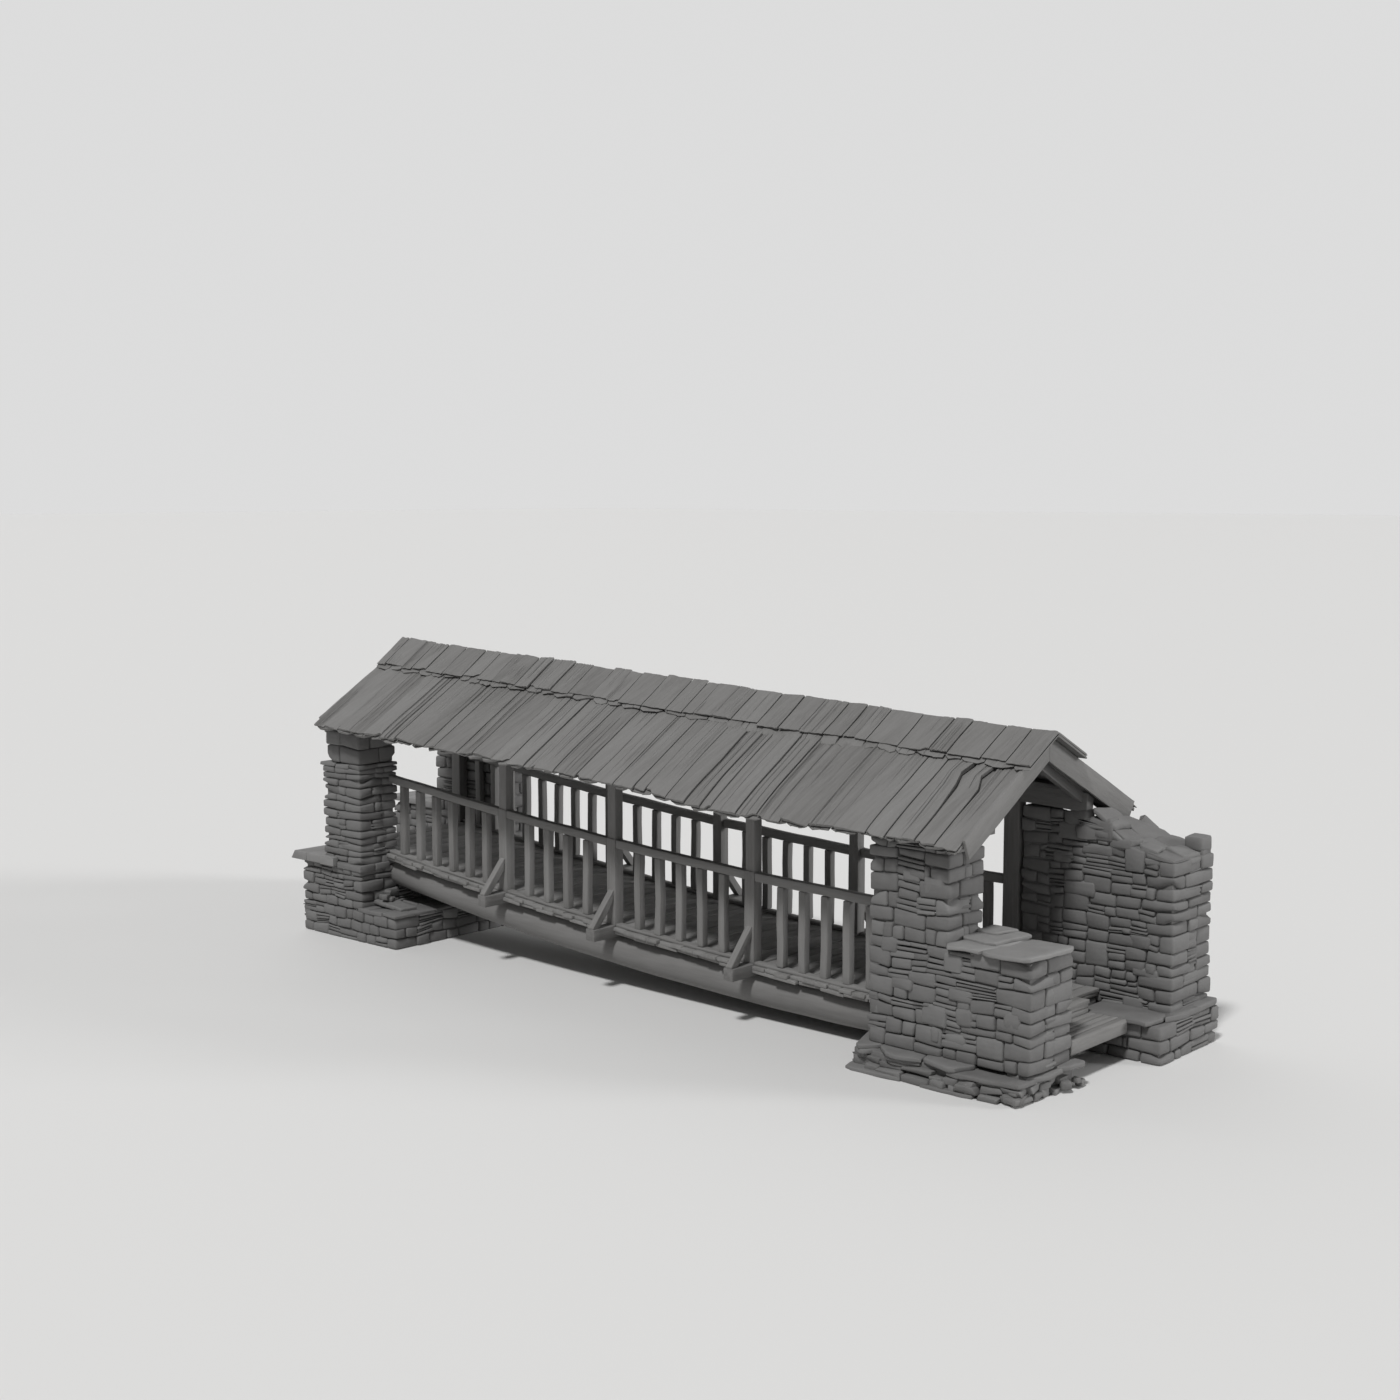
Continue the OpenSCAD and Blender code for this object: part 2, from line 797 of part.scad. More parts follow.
module balusters(bays) {
    margin = (rail_w - baluster_w) / 2;
    for (bay = bays) {
        clear = bay[1] - bay[0];
        count = round((clear - 3 * baluster_w) / bay[2]);
        first = bay[0] + (clear - (count - 1) * bay[2] - baluster_w) / 2;
        for (i = [0 : count - 1]) {
            x = first + i * bay[2];
            side_plate(-post_half + margin, -post_half + margin + baluster_w)
                polygon([[x, deck(x) + sill_h], [x + baluster_w, deck(x + baluster_w) + sill_h],
                    [x + baluster_w, deck(x + baluster_w) + rail_z - rail_h],
                    [x, deck(x) + rail_z - rail_h]]);
        }
    }
}

module front_balusters() {
    color(timber) balusters(front_bays);
}

module back_balusters() {
    color(timber) mirror_back() balusters(back_bays);
}

// Post in two parts: a stout foot up to the handrail and a slimmer head above it
module post(x) {
    strip(x, x + post_w, cross_up + seat, rail_z, -post_half, -post_half + post_w);
    upright(x + post_step / 2, post_w - post_step, -post_half + post_step, -post_half + post_w, rail_z - 5);
}

module front_posts() {
    color(timber)
        for (x = post_x)
            union() post(x);
}

module back_posts() {
    color(timber)
        mirror_back() {
            for (x = post_x)
                union() post(x);
            upright(end_post_left_x, end_post_left_w, -post_half, -walk_w / 2, seat);
            upright(end_post_right_x, end_post_right_w, -post_half, -walk_w / 2, seat);
        }
}

module brace(x) {
    foot = 15;
    foot_w = 110;
    head_w = 140;
    outer = post_half + cross_reach - foot;
    z = deck(x + post_w / 2) + cross_up;
    difference() {
        cross_plate(x + (post_w - brace_w) / 2, x + (post_w + brace_w) / 2)
            polygon([[-outer, z - 40], [-outer + foot_w, z - 40], [-outer + foot_w, z],
                [-post_half - seat, z + brace_rise - head_w], [-post_half - seat, z + brace_rise],
                [-outer, z + 20]]);
        strip(x - 1, x + post_w + 1, -cross_bottom, cross_up + seat, -2 * post_half, 0);
    }
}

module front_braces() {
    color(timber)
        for (x = post_x)
            brace(x);
}

module back_braces() {
    color(timber)
        mirror_back()
            for (x = post_x)
                brace(x);
}

// Roof

module plate() {
    inner = walk_w / 2;
    drop = under_depth / cos(roof_pitch);
    roof_frame()
        cross_plate(roof_lo + barge_t, roof_hi - barge_t)
            polygon([[-post_half, -plate_drop], [-inner, -plate_drop],
                [-inner, -drop - inner * tan(roof_pitch)],
                [-post_half, -drop - post_half * tan(roof_pitch)]]);
}

module front_plate() {
    color(dark_timber) plate();
}

module back_plate() {
    color(dark_timber) mirror_back() plate();
}

module rafters() {
    first = roof_lo + barge_t + lean_high * slope_len;
    last = roof_hi - barge_t - 60 - rafter_w;
    for (i = [0 : rafter_count - 1]) {
        x = first + (last - first) * i / (rafter_count - 1);
        slope_piece(x, x + rafter_w, slope_len - rafter_foot, rafter_depth, under_depth);
    }
    intersection() {
        slope_piece(last, last + rafter_w, slope_len, under_depth + seat, under_depth + gable_rafter_h);
        block(-span, 2 * span, -walk_w / 2 + seat, 0, 0, 5000);
    }
}

module front_rafters() {
    color(dark_timber) rafters();
}

module back_rafters() {
    color(dark_timber) mirror_back() rafters();
}

module battens() {
    count = 5;
    head = batten_w + rafter_depth * tan(roof_pitch) + 20;
    foot = slope_len - barge_foot;
    for (i = [0 : count - 1]) {
        s1 = head + (foot - head) * i / (count - 1);
        s0 = s1 - batten_w;
        slope_plate(batten_depth, rafter_depth)
            polygon([[roof_lo + barge_t + lean_high * s0, s0], [roof_hi - barge_t + lean_low * s0, s0],
                [roof_hi - barge_t + lean_low * s1, s1], [roof_lo + barge_t + lean_high * s1, s1]]);
    }
}

module front_battens() {
    color(dark_timber) battens();
}

module back_battens() {
    color(dark_timber) mirror_back() battens();
}

// Place across the roof of a line that leans as it runs down the slope
function leaning(x, s, lean) =
    x + s * (lean[0] + (lean[1] - lean[0]) * (x - roof_lo) / (roof_hi - roof_lo));
function eave_dip(x) = eave_sag * exp(-pow((x - 0.22 * span) / 1300, 2));

// One layer of a course of riven boards: lo and hi are its ends at the ridge, head and foot its reach
module course(lo, hi, wide, head, foot, dip, t0, t1, lean, spread, lobed, seed) {
    count = round((hi - lo) / wide);
    shift = rands(-0.24, 0.24, count + 1, seed);
    ragged = rands(0, roof_ragged, count, seed + 1);
    slant = rands(-22, 22, count, seed + 2);
    chip = rands(0, 1, count, seed + 3);
    thin = rands(0, spread, count, seed + 4);
    for (i = [0 : count - 1]) {
        x0 = i == 0 ? lo : lo + (hi - lo) * (i + shift[i]) / count + board_gap / 2;
        x1 = i == count - 1 ? hi : lo + (hi - lo) * (i + 1 + shift[i + 1]) / count - board_gap / 2;
        top = head < 0 ? head * (0.3 + 0.7 * chip[i]) : head;
        end = foot + dip * eave_dip((x0 + x1) / 2) - (i == 0 ? 0 : ragged[i]);
        s0 = end - slant[i];
        s1 = end + slant[i];
        w = x1 - x0;
        edge = lobed
            ? [[x0, s0 - 24], [x0 + 0.12 * w, s0 - 6], [x0 + 0.4 * w, s0], [x0 + 0.75 * w, s1 + 4],
                [x0 + 0.92 * w, s1 - 8], [x1, s1 - 26]]
            : chip[i] < 0.22 ? [[x0, s0], [x0 + 0.55 * w, s1], [x0 + 0.75 * w, s1 - 70], [x1, s1 - 45]]
            : [[x0, s0], [x1, s1]];
        slope_plate(t0 + thin[i], t1)
            polygon(concat([[leaning(x1, top, lean), top], [leaning(x0, top, lean), top]],
                [for (p = edge) [leaning(p[0], p[1], lean), p[1]]]));
    }
}

module lower_boards(seed) {
    lo = roof_lo + barge_t;
    hi = roof_hi - barge_t;
    slope = tan(roof_pitch);
    course(lo, hi, shake_w, seat + shake_t * slope, slope_len, 1, 0, shake_t - seat, lower_lean, 0,
        false, seed);
    course(lo, hi, 1.4 * shake_w, seat + 2 * shake_t * slope, slope_len - 5, 1, shake_t, 2 * shake_t,
        lower_lean, 0, true, seed + 5);
}

module upper_boards(head, seed) {
    lo = roof_lo - upper_over_high;
    hi = roof_hi + upper_over_low;
    course(lo, hi, shake_w, head, upper_len, 0.4, -2 * upper_t, -upper_t - seat, upper_lean,
        board_spread, false, seed);
    course(lo, hi, 1.3 * shake_w, seat, upper_len + 55, 0.9, -upper_t, -seat, upper_lean, 0, true,
        seed + 5);
}

module front_lower_boards() {
    color(timber) lower_boards(3);
}

module back_lower_boards() {
    color(timber) mirror_back() lower_boards(3);
}

module front_upper_boards() {
    color(timber) upper_boards(-ridge_over, 23);
}

module back_upper_boards() {
    color(timber) mirror_back() upper_boards(20, 33);
}

// Barge board that follows the leaning verge, with its foot cut square
module barge(x, lean) {
    foot = slope_len - barge_foot;
    intersection() {
        slope_plate(barge_top, barge_top + barge_h)
            polygon([[x - 60 * lean, -60], [x + barge_t - seat - 60 * lean, -60],
                [x + barge_t - seat + foot * lean, foot], [x + foot * lean, foot]]);
        block(-2 * span, 2 * span, -3000, -seat, 0, 6000);
    }
}

module front_left_barge() {
    color(timber) barge(roof_lo, lean_high);
}

module back_left_barge() {
    color(timber) mirror_back() barge(roof_lo, lean_high);
}

module front_right_barge() {
    color(timber) barge(roof_hi - barge_t + seat, lean_low);
}

module back_right_barge() {
    color(timber) mirror_back() barge(roof_hi - barge_t + seat, lean_low);
}

left_abutment();
front_rubble_bank();
back_rubble_bank();
front_left_pier();
front_left_cap();
back_left_pier();
back_left_wing();
back_left_cap();
right_abutment();
right_ledge();
front_right_pier();
front_right_wing();
front_right_cap();
back_right_wall();
back_right_foot();
front_log();
back_log();
log_bearers();
cross_beams();
deck_underboards();
deck_boards();
left_threshold();
right_threshold();
front_sill();
back_sill();
front_posts();
back_posts();
front_handrail();
back_handrail();
front_balusters();
back_balusters();
front_braces();
back_braces();
front_plate();
back_plate();
front_rafters();
back_rafters();
front_battens();
back_battens();
front_lower_boards();
back_lower_boards();
front_upper_boards();
back_upper_boards();
front_left_barge();
back_left_barge();
front_right_barge();
back_right_barge();
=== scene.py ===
# Looks of a covered footbridge: weathered timber, a roof of riven boards and rubble stone.
# Everything is in metres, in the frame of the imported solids.
import math
import random

import bpy
import numpy as np
from mathutils import Matrix, Vector, noise


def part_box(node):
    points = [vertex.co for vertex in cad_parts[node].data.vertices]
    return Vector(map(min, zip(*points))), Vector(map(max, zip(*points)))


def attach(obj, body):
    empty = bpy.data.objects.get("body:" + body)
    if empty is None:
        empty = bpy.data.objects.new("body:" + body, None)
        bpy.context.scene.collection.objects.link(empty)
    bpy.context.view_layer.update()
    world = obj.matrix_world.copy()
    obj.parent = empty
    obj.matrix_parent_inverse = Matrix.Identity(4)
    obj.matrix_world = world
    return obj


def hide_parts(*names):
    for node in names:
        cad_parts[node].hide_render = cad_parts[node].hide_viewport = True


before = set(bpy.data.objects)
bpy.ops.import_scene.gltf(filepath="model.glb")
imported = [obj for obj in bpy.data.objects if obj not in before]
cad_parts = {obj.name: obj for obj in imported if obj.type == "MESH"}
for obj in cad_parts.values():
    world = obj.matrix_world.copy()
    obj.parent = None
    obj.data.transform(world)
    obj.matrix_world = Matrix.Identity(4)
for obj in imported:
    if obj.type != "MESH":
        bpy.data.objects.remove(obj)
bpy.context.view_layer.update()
noise.seed_set(11)  # without a seed the noise vectors start from the clock
print("solids loaded")


# the camera fits the photograph; each lamp has its source, strength and spread in degrees
view = {
    "place": (17.0615, -18.404, 6.3206),
    "down": 6.185,
    "turn": 41.777,
    "lens": 50.0,
    "far": 1000,
    "lamps": {
        "keyLamp": ((3.0, -9.5, 14.5), 2.30, 8.0),
        "sideLamp": ((13.0, 9.0, 3.7), 1.55, 16.0),
        "backLamp": ((-12.0, 5.0, 8.0), 0.60, 70.0),
    },
    "sky": 0.22,
    "backdrop": 0.72,
    "floor": (0.690, 0.687, 0.680),
    "floorSize": 900,
    "floorRoughness": 0.9,
}


def linked(name, data):
    obj = bpy.data.objects.new(name, data)
    bpy.context.scene.collection.objects.link(obj)
    return obj


def farLamp(name, source, strength, spread):
    lamp = bpy.data.lights.new(name, "SUN")
    lamp.energy = strength
    lamp.angle = math.radians(spread)
    light = linked(name, lamp)
    light.location = source
    light.rotation_euler = (-Vector(source)).to_track_quat("-Z", "Y").to_euler()


def setStage():
    scene = bpy.context.scene
    scene.view_settings.view_transform = "Standard"
    eye = bpy.data.cameras.new("mainCamera")
    eye.lens = view["lens"]
    eye.clip_end = view["far"]
    camera = linked("mainCamera", eye)
    camera.location = view["place"]
    camera.rotation_euler = (math.radians(90 - view["down"]), 0, math.radians(view["turn"]))
    scene.camera = camera
    for name, (source, strength, spread) in view["lamps"].items():
        farLamp(name, source, strength, spread)


setStage()
print("camera and lamps placed")


# a socket that can be added, subtracted and multiplied like a number
class Field:
    def __init__(self, look, socket):
        self.look = look
        self.socket = socket

    def math(self, operation, first, second):
        return self.look.make("ShaderNodeMath", {"operation": operation}, {0: first, 1: second})

    def __add__(self, other):
        return self.math("ADD", self, other)

    def __sub__(self, other):
        return self.math("SUBTRACT", self, other)

    def __rsub__(self, other):
        return self.math("SUBTRACT", other, self)

    def __mul__(self, other):
        return self.math("MULTIPLY", self, other)

    __radd__ = __add__
    __rmul__ = __mul__


class Look:
    def __init__(self, name):
        self.material = bpy.data.materials.new(name)
        self.material.use_nodes = True
        self.tree = self.material.node_tree
        self.tree.nodes.clear()
        self.surface = self.tree.nodes.new("ShaderNodeBsdfPrincipled")
        out = self.tree.nodes.new("ShaderNodeOutputMaterial")
        self.tree.links.new(self.surface.outputs[0], out.inputs["Surface"])

    def make(self, kind, settings, sockets, output=0):
        node = self.tree.nodes.new(kind)
        for key, value in settings.items():
            if key == "stops":
                ramp = node.color_ramp.elements
                while len(ramp) < len(value):
                    ramp.new(0.5)
                for element, (place, color) in zip(ramp, value):
                    element.position = place
                    element.color = (*color, 1.0)
            else:
                setattr(node, key, value)
        for key, value in sockets.items():
            if isinstance(value, Field):
                self.tree.links.new(value.socket, node.inputs[key])
            else:
                node.inputs[key].default_value = value
        return Field(self, node.outputs[output])

    def feed(self, name, field):
        self.tree.links.new(field.socket, self.surface.inputs[name])

    # the place on the piece, its own tone, and the place moved so that no two pieces match
    def spots(self, apart):
        place = self.make("ShaderNodeTexCoord", {}, {}, "Object")
        tone = self.make("ShaderNodeAttribute", {"attribute_name": "tone"}, {}, "Fac")
        shifted = self.make("ShaderNodeVectorMath", {"operation": "MULTIPLY_ADD"},
                            {0: tone, 1: apart, 2: place})
        return place, tone, shifted

    def cloud(self, place, scale, detail, rough):
        return self.make("ShaderNodeTexNoise", {}, {"Vector": place, "Scale": scale,
                                                    "Detail": detail, "Roughness": rough})

    def paint(self, skin, mix, lift):
        stops = [(place, tuple(part * lift for part in tone))
                 for place, tone in zip(skin["stops"], skin["tones"])]
        self.feed("Base Color", self.make("ShaderNodeValToRGB", {"stops": stops}, {"Fac": mix}))

    def emboss(self, relief, strength, depth):
        self.feed("Normal", self.make("ShaderNodeBump", {}, {"Height": relief, "Strength": strength,
                                                             "Distance": depth}))


# field stone: dark to pale tones, each noise with its scale, detail and roughness
stoneSkin = {
    "tones": ((0.117, 0.115, 0.113), (0.155, 0.153, 0.151), (0.191, 0.190, 0.187)),
    "stops": (0.22, 0.52, 0.82),
    "apart": (23.0, 31.0, 17.0),
    "beds": (3.0, 3.0, 14.0),
    "broad": (3.2, 4.0, 0.6),
    "layers": (1.6, 6.0, 0.6),
    "grit": (85.0, 5.0, 0.7),
    "lumps": (9.0, 6.0, 0.62),
    "bump": (0.42, 0.016),
}


def stoneLook(name, lift=1.0):
    look = Look(name)
    place, tone, shifted = look.spots(stoneSkin["apart"])
    beds = look.make("ShaderNodeMapping", {}, {"Vector": shifted, "Scale": stoneSkin["beds"]})
    broad = look.cloud(shifted, *stoneSkin["broad"])
    layers = look.cloud(beds, *stoneSkin["layers"])
    grit = look.cloud(place, *stoneSkin["grit"])
    lumps = look.cloud(shifted, *stoneSkin["lumps"])
    look.paint(stoneSkin, broad * 0.50 + layers * 0.25 + grit * 0.20 + tone * 0.30 - 0.13, lift)
    look.feed("Roughness", grit * 0.16 + 0.78)
    look.emboss(lumps + grit * 0.22 + layers * 0.5, *stoneSkin["bump"])
    return look.material


# weathered wood: the grain runs along each piece, coarse is the number of fibres in a metre
woodSkin = {
    "tones": ((0.104, 0.102, 0.098), (0.165, 0.162, 0.158), (0.209, 0.207, 0.203)),
    "stops": (0.24, 0.50, 0.76),
    "apart": (11.0, 13.0, 7.0),
    "wide": (0.35, 3.0, 0.5),
    "fibre": (1.0, 7.0, 0.68),
    "fine": (4.5, 4.0, 0.7),
    "weather": (1.3, 5.0, 0.6),
    "bump": 0.85,
    "stretch": 14.0,
}


def woodLook(name, grain, lift=1.0, coarse=34.0, depth=0.010):
    look = Look(name)
    place, tone, shifted = look.spots(woodSkin["apart"])
    turned = look.make("ShaderNodeMapping", {"vector_type": "TEXTURE"},
                       {"Vector": shifted, "Rotation": grain[0], "Scale": grain[1]})
    wide, fibre, fine = (look.cloud(turned, coarse * woodSkin[layer][0], *woodSkin[layer][1:])
                         for layer in ("wide", "fibre", "fine"))
    weather = look.cloud(place, *woodSkin["weather"])
    look.paint(woodSkin, fibre * 0.48 + wide * 0.24 + fine * 0.16 + weather * 0.18 + tone * 0.16 - 0.11, lift)
    look.feed("Roughness", fibre * 0.2 + 0.70)
    look.emboss(fibre * 0.8 + wide * 1.3 + fine * 0.22, woodSkin["bump"], depth)
    return look.material


roof = {
    "pitch": math.radians(27.6),
    "fall": math.radians(2.35),
    "apex": (0.1115, 3.8623),
    "low": -5.324,
    "high": 5.642,
    "lowerLean": (0.15, 0.06),
    "upperLean": (0.25, 0.05),
    "length": 2.150,
    "sag": 0.072,
    "sagAt": 2.45,
    "sagWide": 1.35,
    "droop": 0.6,
    "shake": 0.045,
    "upper": 0.030,
    "upperLength": 0.655,
    "seat": 0.0003,
}
braceTilt = math.radians(52)
boardLean = math.radians(6)
stretch = woodSkin["stretch"]
alongX = ((0, 0, 0), (stretch, 1.0, 1.0))
alongY = ((0, 0, 0), (1.0, stretch, 1.0))
alongZ = ((0, 0, 0), (1.0, 1.0, stretch))
downFront = ((roof["pitch"], 0, -boardLean), (1.0, stretch, 1.0))
downBack = ((-roof["pitch"], 0, boardLean), (1.0, stretch, 1.0))
braceFront = ((braceTilt, 0, 0), (1.0, stretch, 1.0))
braceBack = ((-braceTilt, 0, 0), (1.0, stretch, 1.0))

looks = {
    "fieldstone": stoneLook("fieldstone"),
    "ledgeStone": stoneLook("ledgeStone", 1.03),
    "capStone": stoneLook("capStone", 1.38),
    "roofFront": woodLook("roofFront", downFront, 1.06, 24.0, 0.009),
    "roofBack": woodLook("roofBack", downBack, 1.06, 24.0, 0.009),
    "slopeFront": woodLook("slopeFront", downFront, 0.80),
    "slopeBack": woodLook("slopeBack", downBack, 0.80),
    "railTimber": woodLook("railTimber", alongX, 1.16, 26.0, 0.008),
    "ridgeWiseTimber": woodLook("ridgeWiseTimber", alongX, 0.80),
    "crossTimber": woodLook("crossTimber", alongY, 0.98),
    "deckTimber": woodLook("deckTimber", alongY, 1.25, 26.0, 0.008),
    "uprightTimber": woodLook("uprightTimber", alongZ, 1.16, 22.0, 0.014),
    "braceFront": woodLook("braceFront", braceFront, 1.18),
    "braceBack": woodLook("braceBack", braceBack, 1.18),
    "logTimber": woodLook("logTimber", alongX, 1.0, 12.0, 0.004),
}
print("materials made")


# hand tools
def only(obj):
    bpy.ops.object.select_all(action="DESELECT")
    obj.select_set(True)
    bpy.context.view_layer.objects.active = obj


def openMesh(obj):
    only(obj)
    bpy.ops.object.mode_set(mode="EDIT")
    bpy.ops.mesh.select_mode(type="VERT")
    bpy.ops.mesh.select_all(action="SELECT")


def closeMesh():
    bpy.ops.object.mode_set(mode="OBJECT")


def worn(obj, **settings):
    only(obj)
    modifier = obj.modifiers.new("bevel", "BEVEL")
    modifier.limit_method = "ANGLE"
    for key, value in settings.items():
        setattr(modifier, key, value)
    bpy.ops.object.modifier_apply(modifier=modifier.name)


def copyOf(node):
    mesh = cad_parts[node].data.copy()
    mesh.materials.clear()
    obj = linked("copy", mesh)
    only(obj)
    if mesh.has_custom_normals:
        bpy.ops.mesh.customdata_custom_splitnormals_clear()
    openMesh(obj)
    bpy.ops.mesh.remove_doubles(threshold=0.00004)
    bpy.ops.mesh.dissolve_limited(angle_limit=math.radians(0.6))
    closeMesh()
    return obj


def cutAt(obj, planes):
    openMesh(obj)
    for point, normal in planes:
        bpy.ops.mesh.select_all(action="SELECT")
        bpy.ops.mesh.bisect(plane_co=point, plane_no=normal)
    closeMesh()


def points(obj):
    flat = np.empty(len(obj.data.vertices) * 3)
    obj.data.vertices.foreach_get("co", flat)
    return flat.reshape(-1, 3)


def setPoints(obj, places):
    obj.data.vertices.foreach_set("co", np.ascontiguousarray(places).ravel())
    obj.data.update()


def giveTone(obj, value):
    tone = obj.data.attributes.new("tone", "FLOAT", "POINT")
    tone.data.foreach_set("value", np.full(len(obj.data.vertices), value))


def drift(places, size, amount, shift=(0.0, 0.0, 0.0)):
    offset = Vector(shift)
    moved = [noise.noise_vector(Vector(p) / size + offset) for p in places]
    return np.array(moved) * amount


def ripple(a, b, seed):
    return np.array([noise.noise(Vector((u, v, seed))) for u, v in zip(np.broadcast_to(a, np.shape(b)), b)])


def cast(source, places, tone):
    obj = linked("piece", source.data.copy())
    setPoints(obj, places)
    giveTone(obj, tone)
    return obj


# the parts become one piece that stands for the node and has its name, as frontLog for front_log
def finished(parts, node, look, angle=38):
    bpy.ops.object.select_all(action="DESELECT")
    for part in parts:
        part.select_set(True)
    obj = parts[0]
    bpy.context.view_layer.objects.active = obj
    if len(parts) > 1:
        bpy.ops.object.join()
    first, *rest = node.split("_")
    obj.name = obj.data.name = first + "".join(word.capitalize() for word in rest)
    obj.data.materials.clear()
    obj.data.materials.append(looks[look])
    only(obj)
    bpy.ops.object.shade_smooth_by_angle(angle=math.radians(angle))
    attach(obj, "root")
    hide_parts(node)


def pick(rng, span):
    return rng.uniform(*span)


def spaced(first, last, step):
    count = max(2, round((last - first) / step))
    return [first + (last - first) * i / count for i in range(1, count)]


# timber: copies of the solids with worn edges, cut across so that each stick can bend a little
timber = {
    "swaySize": 0.55,
    "roundFrom": math.radians(35),
    "cutX": 0.30,
    "cutY": 0.26,
    "cutZ": 0.22,
    "cutSlope": 0.16,
}
acrossX = [((x, 0, 0), (1, 0, 0)) for x in spaced(-7.0, 7.0, timber["cutX"])]
acrossY = [((0, y, 0), (0, 1, 0)) for y in spaced(-1.95, 1.95, timber["cutY"])]
acrossZ = [((0, 0, z), (0, 0, 1)) for z in spaced(0.4, 3.4, timber["cutZ"])]


def acrossSlope(side):
    normal = Vector((0, -side * math.cos(roof["pitch"]), -math.sin(roof["pitch"])))
    top = Vector((roof["apex"][0], 0, roof["apex"][1]))
    return [(tuple(top + normal * s), tuple(normal)) for s in spaced(-0.2, 2.4, timber["cutSlope"])]


# edge is the wear of the arrises, sway how far a stick wanders over a length of size
def sticks(node, slot, look, planes, edge, sway, size=timber["swaySize"], lift=0.0, seed=1):
    rng = random.Random(seed)
    obj = copyOf(node)
    worn(obj, width=edge, segments=2, angle_limit=timber["roundFrom"])
    cutAt(obj, planes)
    openMesh(obj)
    bpy.ops.mesh.separate(type="LOOSE")
    closeMesh()
    parts = list(bpy.context.selected_objects)
    parts.sort(key=lambda o: tuple(round(c, 3) for c in o.bound_box[0]))
    for index, part in enumerate(parts):
        places = points(part)
        number = seed * 50 + index
        places += drift(places, size, sway, (number * 3.17, number * 1.71, number * 2.39))
        places[:, 2] += rng.uniform(-lift, lift)
        setPoints(part, places)
        giveTone(part, rng.random())
    finished(parts, node, look)


def buildTimber():
    for side, front in (("front", 1), ("back", -1)):
        cap = side.capitalize()
        cuts = acrossSlope(front)
        for name, slot, look, planes, *wear in (
            ("battens", "sheltered_timber", "ridgeWiseTimber", acrossX, 0.005, 0.003),
            ("rafters", "sheltered_timber", "slope" + cap, cuts[::2], 0.006, 0.003),
            ("plate", "sheltered_timber", "ridgeWiseTimber", acrossX, 0.008, 0.004),
            ("left_barge", "riven_boards", "roof" + cap, cuts, 0.004, 0.008, 0.3),
            ("right_barge", "riven_boards", "roof" + cap, cuts, 0.004, 0.008, 0.3),
            ("posts", "hewn_timber", "uprightTimber", acrossZ, 0.011, 0.006, 0.5),
            ("handrail", "hewn_timber", "railTimber", acrossX, 0.020, 0.009, 0.5),
            ("sill", "hewn_timber", "railTimber", acrossX, 0.016, 0.007, 0.4),
            ("balusters", "hewn_timber", "uprightTimber", acrossZ, 0.013, 0.010, 0.4, 0.0, 21 + front),
            ("braces", "hewn_timber", "brace" + cap, (), 0.008, 0.002),
        ):
            sticks(side + "_" + name, slot, look, planes, *wear)
    sticks("cross_beams", "hewn_timber", "crossTimber", acrossY, 0.010, 0.005)
    sticks("log_bearers", "sheltered_timber", "ridgeWiseTimber", (), 0.005, 0.002)
    sticks("deck_boards", "riven_boards", "deckTimber", acrossY, 0.007, 0.012, 0.3, 0.002, 31)
    sticks("deck_underboards", "sheltered_timber", "deckTimber", acrossY, 0.010, 0.014, 0.25, 0.001, 33)
    sticks("left_threshold", "riven_boards", "deckTimber", acrossY, 0.006, 0.003)
    sticks("right_threshold", "riven_boards", "deckTimber", acrossY, 0.008, 0.005)


buildTimber()
print("timber built")


# girders: round logs that follow the sag of the deck
walk = {
    "left": -4.3105,
    "right": 4.5335,
    "leftZ": 1.200,
    "rightZ": 0.640,
    "sag": 0.108,
}
girder = {
    "radius": 0.215,
    "taper": 0.030,
    "under": 0.135,
    "flat": 0.025,
    "sides": 40,
    "step": 0.16,
    "knobs": 0.006,
    "knobSize": 0.7,
}


def deckAt(x):
    t = (x - walk["left"]) / (walk["right"] - walk["left"])
    return walk["leftZ"] + (walk["rightZ"] - walk["leftZ"]) * t - 4 * walk["sag"] * t * (1 - t)


def buildLog(node, seed):
    low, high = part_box(node)
    middle = (walk["left"] + walk["right"]) / 2
    reach = (walk["right"] - walk["left"]) / 2
    half = (high[0] - low[0]) / 2
    bpy.ops.object.select_all(action="DESELECT")
    bpy.ops.mesh.primitive_cylinder_add(vertices=girder["sides"], radius=1, depth=half * 2,
                                        rotation=(0, math.pi / 2, 0))
    obj = bpy.context.active_object
    bpy.ops.object.transform_apply(rotation=True)
    cutAt(obj, [((x, 0, 0), (1, 0, 0)) for x in spaced(-half, half, girder["step"])])
    places = points(obj)
    x = places[:, 0] + (low[0] + high[0]) / 2
    radius = girder["radius"] - girder["taper"] * np.minimum(1, ((x - middle) / reach) ** 2)
    top = radius - girder["flat"]
    z = deckAt(x) - girder["under"] - top + np.minimum(places[:, 2] * radius, top)
    y = (low[1] + high[1]) / 2 + places[:, 1] * radius
    shaped = np.stack([x, y, z], axis=1)
    setPoints(obj, shaped + drift(shaped, girder["knobSize"], girder["knobs"], (seed, 0, 0)))
    giveTone(obj, 0.5)
    finished([obj], node, "logTimber", 60)


buildLog("front_log", 3)
buildLog("back_log", 9)
print("girders built")


